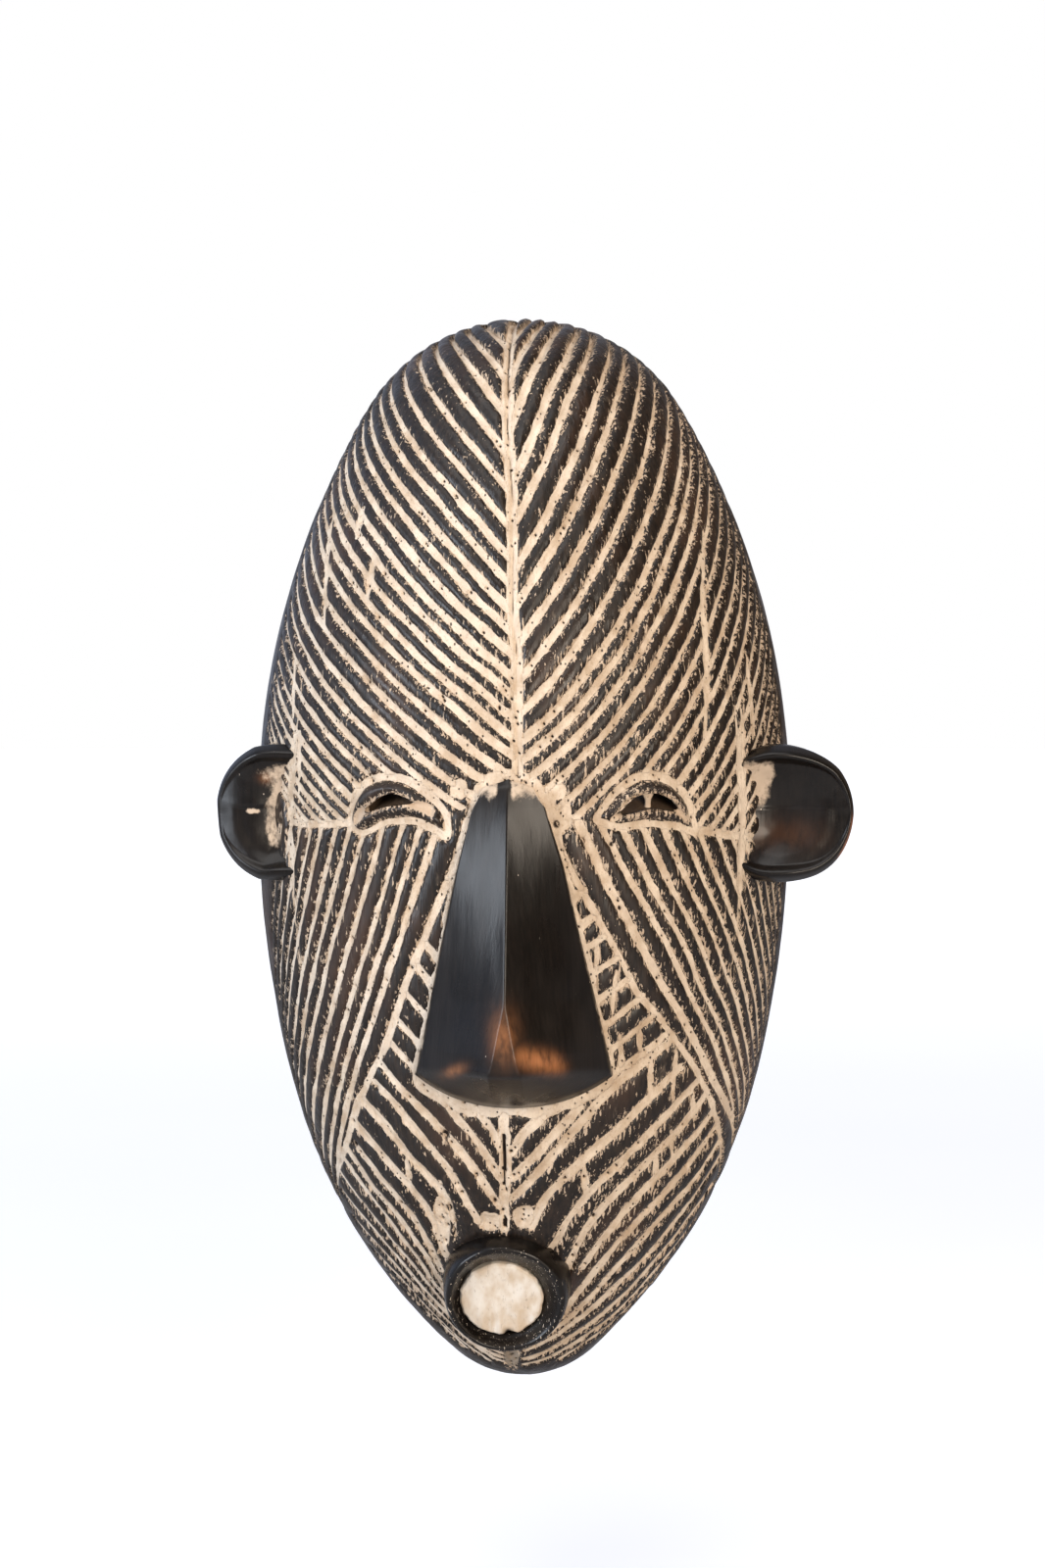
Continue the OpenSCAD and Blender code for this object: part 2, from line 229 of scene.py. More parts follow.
def outline():
    """The outline's right half from crown to chin, by five touching arcs."""
    top = np.array([0, FACE_H - CROWN_R])
    rise = top[1] - WIDE_Z
    temple_r = (HALF_W ** 2 + rise ** 2 - CROWN_R ** 2) / (2 * (HALF_W - CROWN_R))
    temple = np.array([HALF_W - temple_r, WIDE_Z])
    temple_turn = math.atan2(rise, -temple[0])
    cheek = np.array([HALF_W - CHEEK_R, WIDE_Z])
    way = np.array([math.cos(CHEEK_TURN), -math.sin(CHEEK_TURN)])
    chin = np.array([0, CHIN_R])
    gap = cheek + CHEEK_R * way - chin
    jaw_r = (gap @ gap - CHIN_R ** 2) / (2 * (gap @ way - CHIN_R))
    jaw = cheek + (CHEEK_R - jaw_r) * way
    jaw_turn = math.atan2(jaw[1] - chin[1], chin[0] - jaw[0])
    parts = [
        arc(top, CROWN_R, math.pi / 2, temple_turn),
        arc(temple, temple_r, temple_turn, 0),
        arc(cheek, CHEEK_R, 0, -CHEEK_TURN),
        arc(jaw, jaw_r, -CHEEK_TURN, -jaw_turn),
        arc(chin, CHIN_R, -jaw_turn, -math.pi / 2),
    ]
    return np.concatenate([parts[0]] + [p[1:] for p in parts[1:]])


class Meridian:
    """The outline's half width, height and outward direction, by the length v up from the widest level."""

    def __init__(self):
        p = outline()[::-1]
        run = np.r_[0, np.cumsum(np.hypot(*np.diff(p, axis=0).T))]
        self.v = run - np.interp(WIDE_Z, p[:, 1], run)
        self.w, self.z = p[:, 0], p[:, 1]
        tangent = np.gradient(p, self.v, axis=0)
        tangent /= np.hypot(*tangent.T)[:, None]
        self.out, self.up = tangent[:, 1], -tangent[:, 0]
        self.out[[0, -1]] = 0
        self.low, self.high = self.v[0], self.v[-1]

    def __call__(self, v):
        return [np.interp(v, self.v, a) for a in (self.w, self.z, self.out, self.up)]

    def v_of(self, z):
        return np.interp(z, self.z, self.v)


FACE = Meridian()


def noise(x, y, seed=0):
    """Smooth value noise from -1 to 1."""
    i, j = np.floor(x), np.floor(y)
    fx, fy = x - i, y - j
    fx, fy = fx * fx * (3 - 2 * fx), fy * fy * (3 - 2 * fy)

    def cell(a, b):
        h = np.sin(a * 127.1 + b * 311.7 + seed * 74.7) * 43758.5453
        return h - np.floor(h)

    low = cell(i, j) * (1 - fx) + cell(i + 1, j) * fx
    high = cell(i, j + 1) * (1 - fx) + cell(i + 1, j + 1) * fx
    return 2 * (low * (1 - fy) + high * fy) - 1


def fbm(x, y, seed=0, octaves=3):
    total, size = 0.0, 1.0
    for k in range(octaves):
        total = total + size * noise(x * 2 ** k, y * 2 ** k, seed + 7 * k)
        size *= 0.5
    return total


def ramp(x, a, b):
    t = np.clip((x - a) / (b - a), 0, 1)
    return t * t * (3 - 2 * t)


def blob(x, z, at_x, at_z, size_x, size_z, edge=2):
    """A soft spot, 1 at its middle and fading over its two sizes, more suddenly in x with a higher edge."""
    return np.exp(-((x - at_x) / size_x) ** edge - ((z - at_z) / size_z) ** 2)


def smooth_path(points, step=1.0):
    """A rounded path through a few points."""
    p = np.array(points, float)
    if np.allclose(p[0], p[-1]):
        q = np.vstack([p[-2], p, p[1]])
    else:
        q = np.vstack([2 * p[0] - p[1], p, 2 * p[-1] - p[-2]])
    out = []
    for a, b, c, d in zip(q, q[1:], q[2:], q[3:]):
        k = max(2, int(np.hypot(*(c - b)) / step))
        t = np.linspace(0, 1, k, endpoint=False)[:, None]
        out.append(0.5 * (2 * b + (c - a) * t + (2 * a - 5 * b + 4 * c - d) * t ** 2
                          + (3 * b - a - 3 * c + d) * t ** 3))
    return np.vstack(out + [p[-1:]])


def path_distance(u, v, path, reach=7.0, closed=False):
    """Distance to a path within its reach, negative inside a closed one, and the share run along it."""
    dist, along = np.full(u.shape, 99.0), np.zeros(u.shape)
    box = (u > path[:, 0].min() - reach) & (u < path[:, 0].max() + reach)
    box &= (v > path[:, 1].min() - reach) & (v < path[:, 1].max() + reach)
    if not box.any():
        return dist, along
    pu, pv = u[box], v[box]
    best, where = np.full(pu.shape, 99.0), np.zeros(pu.shape)
    inside = np.zeros(pu.shape, bool)
    run = np.r_[0, np.cumsum(np.hypot(*np.diff(path, axis=0).T))]
    for k in range(len(path) - 1):
        a, e = path[k], path[k + 1] - path[k]
        size = e @ e
        if size < 1e-9:
            continue
        t = np.clip(((pu - a[0]) * e[0] + (pv - a[1]) * e[1]) / size, 0, 1)
        d = np.hypot(pu - a[0] - t * e[0], pv - a[1] - t * e[1])
        near = d < best
        best = np.where(near, d, best)
        where = np.where(near, (run[k] + t * (run[k + 1] - run[k])) / run[-1], where)
        if closed:
            crosses = (pv < a[1]) != (pv < a[1] + e[1])
            inside ^= crosses & (pu < a[0] + (pv - a[1]) * e[0] / np.where(crosses, e[1], 1.0))
    dist[box], along[box] = np.where(inside, -best, best) if closed else best, where
    return dist, along


# Paths in the face's own sheet, unrolled: u across and v up, from the widest level's middle
MIDLINE = [(-2.5, 176), (-2.5, 120), (-1, 100), (0, 80), (0.5, 60), (1.5, 40), (2, 12)]
LOW_MIDLINE = [(-2, -75), (-2, -95), (-2.4, -114)]
BROWS = {
    -1: [17, 22, 27.5, 33, 38, 43.5, 50, 56, 63, 70, 79, 89.5, 101, 113, 125, 139],
    1: [16, 21, 29, 38, 47, 57, 67, 80, 92, 108, 124, 141],
}
BROW_PITCH = {-1: (6.2, 0.16), 1: (6.3, 0.12)}
EYE_LOOPS = {
    -1: [(-46.1, 2.6), (-44.4, 7.1), (-41.2, 10.7), (-36.3, 12.3), (-31.7, 12.5), (-27.2, 11.4),
         (-22.3, 8.4), (-18.8, 5.2), (-17.0, 2.0), (-17.1, -2.9), (-20.7, -1.0), (-25.2, 0.9), (-30.4, 1.0),
         (-35.3, 0.2), (-39.2, -1.7), (-43.1, -2.4), (-45.7, -0.3), (-46.1, 2.6)],
    1: [(22.9, 1.6), (25.4, 5.0), (28.9, 8.8), (33.3, 11.9), (38.6, 13.0), (43.6, 11.9), (47.7, 9.4),
        (50.8, 5.6), (52.7, 0.9), (54, -2.5), (51.2, -1.9), (47.4, -0.7), (43, -0.3), (38.6, 0.1),
        (34.2, -0.3), (29.5, -0.6), (26.4, 0.1), (24.2, 1.0), (22.9, 1.6)],
}
SLOTS = {
    -1: [(-40.5, 3.6), (-38, 5.6), (-35, 7.4), (-31.5, 8.2), (-28.5, 7.5), (-25.6, 5.9), (-29, 5.2),
         (-33, 4.7), (-36.5, 3.9), (-39, 3.0), (-40.5, 3.6)],
    1: [(28.8, 2.7), (31, 5.4), (34, 7.4), (38.4, 8.3), (42.5, 7.4), (45.5, 5.6), (47.4, 3.2), (44, 3.4),
        (40.5, 4.0), (37.4, 4.0), (33, 3.0), (28.8, 2.7)],
}
EYE_CORNERS = {
    -1: [[(-40.2, 4.4), (-42.5, 4.0), (-44.3, 2.2), (-44.0, 0.2), (-42.2, 0.6), (-40.6, 2.2), (-40.2, 4.4)],
         [(-26.2, 6.2), (-23.5, 6.3), (-20.9, 4.9), (-20.8, 2.4), (-23.5, 3.7), (-27, 4.8), (-26.2, 6.2)]],
    1: [[(29.4, 3.4), (28, 2.8), (27.3, 1.4), (28.6, 0.9), (30.6, 2.0), (29.4, 3.4)],
        [(46.8, 4.9), (48.3, 3.9), (50.7, 1.0), (50.2, 0.3), (48, 1.6), (46.0, 2.4), (46.8, 4.9)]],
}
BORDERS = {
    -1: [(-10, 5), (-15, -10), (-25, -33), (-35, -58), (-40, -67.5), (-46, -77), (-52, -88), (-57, -96),
         (-63, -103), (-72, -117)],
    1: [(10, 2), (15, -9), (25, -27), (35, -44), (40, -50), (47, -58), (56, -69), (62, -77), (68, -86),
        (75, -97), (84, -112)],
}
SECOND_BORDER = [(18, 1), (30, -22), (42, -42), (50, -53), (60, -68), (70, -79), (80, -88), (90, -98)]
EYE_LINES = {
    -1: [(-46, 0.3), (-58, -0.6), (-72, -0.6)],
    1: [(53, -1.5), (62, -3.2), (72, -4.2), (82, -5.2)],
}
CHEEKS = {
    -1: [19.5, 24, 29, 35, 41, 46, 51, 57, 61.5, 67, 72.5, 78],
    1: [24.5, 30, 36, 42, 48, 53.5, 60, 66, 71.5, 77, 82, 88, 94],
}
NOSE_FOOT = [(-1, 12.5), (-7, 10.5), (-10, 4), (-14, -12), (-18.5, -33), (-23, -55), (-26.2, -67),
             (-23.5, -72), (-12, -75.5), (0, -76), (12, -75), (24, -71.5), (27.8, -66.5), (23.8, -50),
             (19, -30), (14.3, -10), (9.6, 5), (6, 11), (-1, 12.5)]
JAWS = {
    -1: [
        [(-10, -77), (-6, -82), (-2.5, -89)],
        [(-18.5, -75), (-10, -86), (-3, -98)],
        [(-38, -65.5), (-30, -74), (-20, -83), (-10, -96), (-3, -107)],
        [(-40, -71.5), (-30, -81), (-20, -93), (-15, -101), (-9.5, -112)],
        [(-45, -77), (-38, -83), (-30, -92), (-22, -101), (-19, -106)],
        [(-49, -84), (-40, -92), (-30, -103), (-24, -112), (-20, -125)],
        [(-50, -91), (-42, -99), (-35, -107), (-27, -118), (-22, -131)],
        [(-54, -93), (-44, -104), (-35, -114), (-28, -124), (-20.5, -141)],
        [(-56, -97), (-46, -107), (-38, -117), (-30, -128), (-22, -143), (-14, -158), (-5, -164.5)],
        [(-60, -102), (-48, -113), (-40, -122), (-30, -134), (-22, -147), (-14, -161), (-5, -167.5)],
        [(-62, -109), (-48, -120), (-38, -130), (-30, -140), (-20, -153), (-12, -165), (-4, -170.5)],
        [(-60, -118), (-46, -128), (-36, -138), (-28, -147), (-18, -160), (-10, -169), (-3, -173.5)],
        [(-54, -129), (-40, -139), (-30, -150), (-20, -162), (-10, -172.5)],
        [(-48, -139), (-36, -148), (-26, -158), (-18, -167)],
    ],
    1: [
        [(10, -77.5), (4, -83), (0, -89)],
        [(19, -76.5), (10, -86), (0, -97)],
        [(47, -58), (38, -64), (28, -71), (20, -80), (10, -92), (0, -104)],
        [(50, -67), (40, -75), (30, -83), (20, -92), (10, -103), (5, -113)],
        [(57, -72), (48, -79), (38, -87), (28, -96), (18, -108), (10, -122)],
        [(60, -77), (50, -86), (42, -92), (30, -103), (21, -114), (14, -131)],
        [(65, -82), (55, -90), (45, -98), (36, -106), (26, -118), (19.5, -129)],
        [(67, -87), (57, -96), (46, -106), (36, -115), (26, -127), (17, -141), (13, -149)],
        [(71, -92), (60, -103), (50, -111), (40, -120), (30, -131), (20, -144), (10, -155.5), (1, -161.5)],
        [(74, -98), (62, -109), (50, -120), (40, -130), (30, -139), (20, -149), (10, -159), (1, -165.5)],
        [(74, -108), (60, -119), (48, -130), (38, -140), (28, -149), (18, -158), (8, -166), (1, -170)],
        [(68, -121), (54, -132), (42, -143), (30, -153.5), (18, -163), (8, -170), (1, -173.5)],
        [(60, -134), (48, -144), (36, -154), (24, -163), (12, -171.5)],
        [(52, -147), (40, -157), (30, -164)],
    ],
}
LADDERS = {
    -1: [[(-13.5, -17), (-17, -13.5)], [(-19, -36), (-23.5, -31)], [(-20.5, -44), (-26, -37)],
         [(-22.5, -52), (-29, -45)], [(-24.5, -60), (-32, -52.5)], [(-26.3, -67), (-34.5, -59)]],
    1: [[(16, -20), (20, -17)], [(18, -27), (23, -24)], [(19.5, -33), (26, -29)], [(21, -40), (29.5, -35)],
        [(22.5, -47), (33, -40.5)], [(24.5, -54), (37, -45.5)], [(26.5, -60.5), (41, -51)],
        [(28.5, -67), (45, -56.5)]],
}
SEAMS = {
    -1: [[(-63, 86), (-61.5, 70), (-59, 52)], [(-47, 87), (-48.5, 78)], [(-41, 73), (-42.5, 60)],
         [(-75, 46), (-73, 28)], [(-69, 24), (-68, 8)]],
    1: [[(60, 80), (58, 60), (58.5, 40), (57, 20)], [(78, 46), (79, 22)], [(73, 30), (74, 16)]],
}
SPLINTS = [
    [(39.5, -62), (40, -76)], [(48, -60), (47.5, -76)], [(42, -88), (42.5, -104)], [(47, -86), (48, -94)],
    [(20, -94), (21, -106)], [(30, -56), (31, -68)], [(36, -53), (36.5, -62)], [(55, -74), (56, -84)],
    [(-20.5, -100), (-17, -110), (-16, -118)], [(-31, -92), (-30, -103)], [(24, -28), (22, -44)],
    [(29, -37), (28, -52)],
]
PITS = [(-18.5, -85, 1.3), (-40, -73, 0.8), (-50, -91, 1.0), (-18, -108, 0.9), (-16, -112.5, 0.7),
        (-2, -85.5, 0.6), (31, -27, 0.9), (26, -11, 0.8), (19.5, -4, 0.9), (27.5, -5, 0.6), (36, -13, 0.7),
        (45, -22, 0.6), (12.5, 0.5, 1.0), (22, -55, 0.6), (43, -20, 0.5), (-10, -97, 0.6), (-5, -105, 0.6),
        (30, -22, 0.6)]
MOUTH_U, MOUTH_V = -3.5, -139.5
MOUTH_HALF_W, MOUTH_HALF_H = 17.5, 23.5
# The clay along an ear's root: how far in front of the dome's back it runs, and its middle and half length
EAR_BED_Y, EAR_BED_Z, EAR_BED_HALF = 43.5, 163, 42

PARTS = ("brow", "eye", "cheek", "jaw", "ear_bed")
OWNERS = ["clay_midline", "clay_nose_bed"]
OWNERS += ["clay_%s_%s" % (word, part) for part in PARTS for word in ("left", "right")]
CUT_DEPTH = 1.9
# Each ear: its middle across and up, its radius, how square its outline is, how far its dish flattens,
# the least that its rim swells, and how far its front rolls back towards the outer edge
EARS = {-1: (63.7, 165.5, 18.7, 2.55, 0.92, 0.03, 5.0), 1: (72.0, 165.5, 18.7, 2.15, 0.72, 0.12, 1.2)}


def brow_height(side, c, s):
    """Height, at distance s from the midline, of a brow line that leaves the midline at height c."""
    if side < 0:
        return c + math.exp(c / 120) * (0.66 * s + 0.0015 * s ** 2)
    return c + math.exp(c / 70) * (0.575 * s + 0.0093 * s ** 2)


def band_depth(z):
    """How far in front of the dome's back the cut lines stop, at height z."""
    return np.interp(z, [0, 40, 80, 120, 200, 240, 262, 276], [5, 8, 14, 22, 22, 17, 6, -20])


class Cuts:
    """The distance to the nearest cut's edge, negative inside a cut, and whose clay fills that cut."""

    def __init__(self, u, v):
        self.u = u + 0.40 * fbm(u / 15, v / 15, 3, 2) + 0.05 * noise(u / 2.3, v / 2.3, 5)
        self.v = v + 0.40 * fbm(u / 15, v / 15, 11, 2) + 0.05 * noise(u / 2.3, v / 2.3, 15)
        self.width = 0.13 * fbm(u / 7, v / 7, 21, 2) + 0.13 * noise(u / 0.8, v / 3.2, 23)
        self.gap = np.full(u.shape, 9.0)
        self.owner = np.zeros(u.shape, np.int8)

    def add(self, distance, half, owner, beyond=None, ragged=True):
        g = distance - half - (self.width if ragged else 0)
        if beyond is not None:
            g = np.maximum(g, beyond)
        closer = g < self.gap
        self.gap = np.where(closer, g, self.gap)
        self.owner[closer] = owner


def cut_lines(u, v, x, y, z):
    """Every cut of the carving, and the distances to its main outlines."""
    c = Cuts(u, v)
    uu, vv = c.u, c.v

    def to(line, step=1.0, reach=7.0, closed=False):
        """Distance to a rounded path, and the share run along it."""
        return path_distance(uu, vv, smooth_path(line, step), reach, closed)

    rng = np.random.default_rng(41)
    front = -RIM_D - y
    band = band_depth(z) - 8 * ramp(x, 0, 40) - front
    foot, _ = to(NOSE_FOOT, 1.0, 9, closed=True)
    mid, _ = to(MIDLINE, 1.0, 6)
    mid_u = np.interp(vv, [12, 40, 60, 80, 100, 120, 176], [2, 1.5, 0.5, 0, -1, -2.5, -2.5])
    mouth = np.hypot((uu - MOUTH_U) / MOUTH_HALF_W, (vv - MOUTH_V) / MOUTH_HALF_H) * 20 - 20
    loops = {}
    for side in (-1, 1):
        loops[side], _ = to(EYE_LOOPS[side], 0.7, 9, closed=True)

    for side in (-1, 1):
        k = 0 if side < 0 else 1
        s = side * (uu - mid_u)
        line_v = np.interp(side * uu, [9, 17, 22, 46, 60, 90], [6, 2, 1, 0.5, -1.0 - k * 1.5, -1.5 - k * 4.5])
        outer_only = np.maximum(-s + 0.4, line_v - vv)
        near_eye = np.maximum(outer_only, -(loops[side] - 0.6))
        pitch, closing = BROW_PITCH[side]
        starts = list(BROWS[side]) + [BROWS[side][0] - pitch * m + closing * m ** 2 for m in range(1, 15)]
        out_s = np.maximum(s, 0)
        brow_half = np.interp(np.abs(uu), [0, 25, 60, 95], [1.05, 0.9, 0.76, 0.62]) - 0.08 * k
        eps = 0.5
        for c0 in starts:
            height = brow_height(side, c0 + 0.35 * rng.uniform(-1, 1), out_s)
            slope = (brow_height(side, c0, out_s + eps) - brow_height(side, c0, out_s)) / eps
            d = np.abs(vv - height) / np.sqrt(1 + slope ** 2)
            half = brow_half + 0.1 * rng.uniform(-1, 1)
            beyond = np.maximum(near_eye, band + 2.5 * rng.uniform(-1, 1))
            c.add(d, half, 2 + k, beyond)
        for s0 in CHEEKS[side]:
            down = np.maximum(-vv, -2)
            if side < 0:
                bend = 0.0008 + 0.0013 * ramp(s0, 19.5, 60)
                line_s, slope = s0 + 0.34 * down + bend * down ** 2, 0.34 + 2 * bend * down
            else:
                line_s, slope = s0 + 0.56 * down + 0.001 * down ** 2, 0.56 + 0.002 * down
            d = np.abs(side * uu - line_s) / np.sqrt(1 + slope ** 2)
            border = SECOND_BORDER if side > 0 else BORDERS[side]
            bu = np.interp(vv, [p[1] for p in border[::-1]], [side * p[0] for p in border[::-1]])
            beyond = np.maximum.reduce([vv - line_v + 0.5, bu - side * uu + 0.2, -(loops[side] - 0.6),
                                        band + 2.5 * rng.uniform(-1, 1)])
            half = (0.78, 0.70)[k] + 0.1 * rng.uniform(-1, 1) - 0.15 * ramp(-front, -50, -25)
            c.add(d, half, 6 + k, beyond)
        for m, line in enumerate(JAWS[side]):
            d, _ = to(line)
            half = 0.98 + 0.12 * k + 0.12 * rng.uniform(-1, 1) - (0.10 if m > 7 else 0)
            half = half - 0.25 * ramp(-vv, 150, 168)
            c.add(d, half, 8 + k, np.maximum.reduce([band + 2 * rng.uniform(-1, 1), -(foot - 1), -mouth]))
        d, _ = to(BORDERS[side])
        c.add(d, (0.95, 0.85)[k], 8 + k, np.maximum(band, -(foot - 0.5)))
        for line in LADDERS[side]:
            d, _ = to(line)
            c.add(d, 0.82 + 0.15 * rng.uniform(-1, 1), 1)
        for line in SEAMS[side]:
            d, along = to(line)
            half = 0.4 + 0.6 * np.sin(np.pi * np.clip(along, 0.02, 0.98)) + 0.35 * noise(u / 2, v / 2, 31)
            c.add(d, half, 2 + k, band)
        d, _ = to(EYE_LINES[side])
        c.add(d, 0.95, 4 + k, np.maximum(band, -(loops[side] - 0.4)))
        c.add(np.abs(loops[side]), 0.85 + 0.25 * ramp(vv, 3, 9), 4 + k)
        hole, _ = to(SLOTS[side], 0.5, 4, closed=True)
        c.add(np.abs(hole - 0.30), 0.28, 4 + k)
        for corner in EYE_CORNERS[side]:
            d, _ = to(corner, 0.5, 4, closed=True)
            c.add(d, 0.1, 4 + k)
    d, _ = to(SECOND_BORDER)
    c.add(d, 1.15, 7, band)
    for line in SPLINTS:
        d, along = to(line)
        half = 0.75 * np.sin(np.pi * np.clip(along, 0.05, 0.95)) + 0.25 * noise(u / 1.5, v / 1.5, 37)
        c.add(d, half, 9 if line[0][0] > 0 else 8, np.maximum(-(foot - 0.5), -mouth))
    c.add(mid, 1.45, 0)
    d, _ = to(LOW_MIDLINE)
    c.add(d, 1.3, 0, -(foot - 0.8))
    below = ramp(-vv, 68, 76) * ramp(np.abs(uu), 26, 14)
    above = ramp(vv, -2, 9)
    bed = 1.15 + 2.0 * below + 0.6 * above + 0.7 * fbm(u / 3, v / 6, 43, 2)
    c.add(np.abs(foot + 0.2), np.maximum(bed, 0.9), 1, ragged=False)
    patches = [(-20.5, -113, 2.6, 8), (-6.2, -111.5, 3.0, 3.0), (3.0, -110, 3.0, 3.6), (-2.6, -170, 2.0, 5.5),
               (14, 3, 2.2, 4), (-13.5, 9.5, 2.4, 2.6), (12, 9, 2.6, 2.4)]
    for pu, pv, ru, rv in patches:
        d = (np.hypot((uu - pu) / ru, (vv - pv) / rv) - 1) * min(ru, rv)
        fills = 0 if pu < 0 and pv < -160 else 1
        c.add(d + 0.5 * noise(u / 1.6, v / 2.4, 47), 0.0, fills, -mouth, ragged=False)
    reach = np.interp(z, [139, 147, 152, 170, 180, 186, 194], [0.0, 0.7, 1.3, 1.7, 2.2, 1.2, 0.0])
    reach = reach * (1 + 0.5 * fbm(front / 3, z / 7, 53, 2))
    for side in (-1, 1):
        strip = np.where(np.sign(x) == side, np.abs(front - EAR_BED_Y), 99.0)
        ends = np.abs(z - EAR_BED_Z) - EAR_BED_HALF
        c.add(strip, np.maximum(reach, 0), 10 if side < 0 else 11, ends, ragged=False)
    return c, {"foot": foot, "loops": loops, "mouth": mouth, "mid": mid}


# ======== meshes ========
STEP = 0.55
COARSE = 3
CRISP_TURN = 65 * RADIAN


def make_mesh(name, points, quads, tris=None, values=None):
    """An object from numpy arrays, in millimetres from the chin, with only the points its faces use."""
    faces = [f for f in (quads, tris) if f is not None and len(f)]
    used, flat = np.unique(np.concatenate([f.ravel() for f in faces]), return_inverse=True)
    mesh = bpy.data.meshes.new(name)
    co = points[used] * MM
    co[:, 2] += CHIN_AT * MM
    mesh.vertices.add(len(used))
    mesh.vertices.foreach_set("co", co.ravel())
    mesh.loops.add(len(flat))
    mesh.loops.foreach_set("vertex_index", flat.astype(np.int32))
    sizes = np.concatenate([np.full(len(f), f.shape[1]) for f in faces])
    starts = np.r_[0, np.cumsum(sizes)[:-1]]
    mesh.polygons.add(len(sizes))
    mesh.polygons.foreach_set("loop_start", starts.astype(np.int32))
    mesh.polygons.foreach_set("use_smooth", np.full(len(sizes), True))
    mesh.update(calc_edges=True)
    mesh.validate()
    for key, value in (values or {}).items():
        mesh.attributes.new(key, "FLOAT", "POINT").data.foreach_set("value", value[used].astype(np.float32))
    return add_object(name, mesh)


def face_out(o):
    """Turns every face of a closed mesh outwards."""
    b = bmesh.new()
    b.from_mesh(o.data)
    bmesh.ops.recalc_face_normals(b, faces=b.faces)
    b.to_mesh(o.data)
    b.free()


def crisp(o):
    """Keeps the corners of a piece sharp where its faces turn by more than CRISP_TURN."""
    o.data.set_sharp_from_angle(angle=CRISP_TURN)


def keep(o, look, slot, *nodes):
    """Gives a piece its material and place on the body, and hides the CAD nodes it stands for. The slot is
    not used.
    """
    o.data.materials.clear()
    o.data.materials.append(look)
    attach(o, "root")
    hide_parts(*nodes)


# ---- the shell's grid: rows down the face, columns from the left rim round the dome to the right rim ----
rows = int(round((FACE.high - FACE.low) / STEP / COARSE)) * COARSE
row_v = np.linspace(FACE.high, FACE.low, rows + 1)
dome_cols = int(round(math.pi * HALF_W / STEP / COARSE / 2)) * COARSE * 2
rim_cols = int(round(RIM_D / STEP / COARSE)) * COARSE
SIDEWAYS = math.pi / 2
theta = np.concatenate([np.full(rim_cols, -SIDEWAYS), np.linspace(-SIDEWAYS, SIDEWAYS, dome_cols + 1),
                        np.full(rim_cols, SIDEWAYS)])
rim_q = np.concatenate([np.linspace(RIM_D, 0, rim_cols + 1)[:-1], np.zeros(dome_cols + 1),
                        np.linspace(0, RIM_D, rim_cols + 1)[1:]])
cols = len(theta) - 1
mid_row = int(round(np.argmin(np.abs(row_v)) / COARSE)) * COARSE
mid_col = cols // 2
grid_v = row_v[:, None] + np.zeros(cols + 1)


def sheet(depth):
    """Points at a depth below the face's smooth surface, for the whole grid."""
    w, z, out, up = FACE(grid_v)
    reach = w - depth * out
    x = reach * np.sin(theta)
    y = -RIM_D - reach * np.cos(theta) + rim_q
    return np.stack([x, y, z - depth * up], -1)


grid_u = np.sign(theta) * (FACE(grid_v)[0] * np.abs(theta) + rim_q)
smooth_at = sheet(np.zeros(grid_v.shape))
gx, gy, gz = smooth_at[..., 0], smooth_at[..., 1], smooth_at[..., 2]
cuts, near = cut_lines(grid_u, grid_v, gx, gy, gz)
gap, owner = cuts.gap, cuts.owner

# wood: V-shaped cuts with rounded ridges between them, raised lids, a hand-worked surface
crown = ramp(grid_v, 118, 150)
wood = (CUT_DEPTH + 0.9 * crown) * ramp(-gap, -0.35, 0.95) + 0.75 * np.exp(-np.maximum(gap, 0) / 1.2)
wood += 0.10 * fbm(gx / 7 + gy / 9, gz / 16, 61, 2) + 0.035 * noise(gx / 0.9 + gy / 0.9, gz / 5, 67)
wood += 0.30 * fbm(gx / 30 + gy / 37, gz / 40, 71, 1)
for loop in near["loops"].values():
    wood -= 1.7 * ramp(-loop, 1.0, 3.4)
pole = ramp(np.minimum(grid_v[0, 0] - grid_v, grid_v - grid_v[-1, 0]), 0.3, 2.5)
edge = ramp(rim_q, RIM_D - 1.6, RIM_D)
wood = wood * pole + 1.2 * (1 - pole) * (grid_v > 0) + 0.2 * (1 - pole) * (grid_v < 0)
wood += 0.9 * edge ** 2
mouth_flat = ramp(-near["mouth"], -1.5, 1.5)
wood = wood * (1 - mouth_flat) + 0.8 * mouth_flat + 7.0 * ramp(-near["mouth"], 2.0, 7.0)
foot_flat = ramp(-near["foot"], 1.0, 3.0)
wood = wood * (1 - foot_flat) + 0.6 * foot_flat

# clay: rubbed in and left a little below the ridges, uneven and pitted
clay = 1.0 + 0.9 * crown + 0.20 * fbm(gx / 3.2 + gy / 3.9, gz / 4.2, 81, 2)
clay += 0.09 * noise(gx / 0.9 + gy / 1.1, gz / 1.3, 83)
clay += 0.30 * ramp(-gap, 0.2, 1.2)
groove_line = np.exp(-(near["mid"] / 0.35) ** 2)
clay += 0.5 * groove_line * (owner == 0)
clay -= 0.45 * ramp(-near["foot"], -3.0, -0.5) * (owner == 1)
pit = np.zeros(gap.shape)
rng = np.random.default_rng(7)
ALL_PITS = 420
spots = list(PITS)
while len(spots) < ALL_PITS:
    i, j = rng.integers(30, rows - 30), rng.integers(rim_cols + 30, cols - rim_cols - 30)
    if gap[i, j] < -0.5:
        spots.append((grid_u[i, j], grid_v[i, j], rng.uniform(0.28, 0.5)))
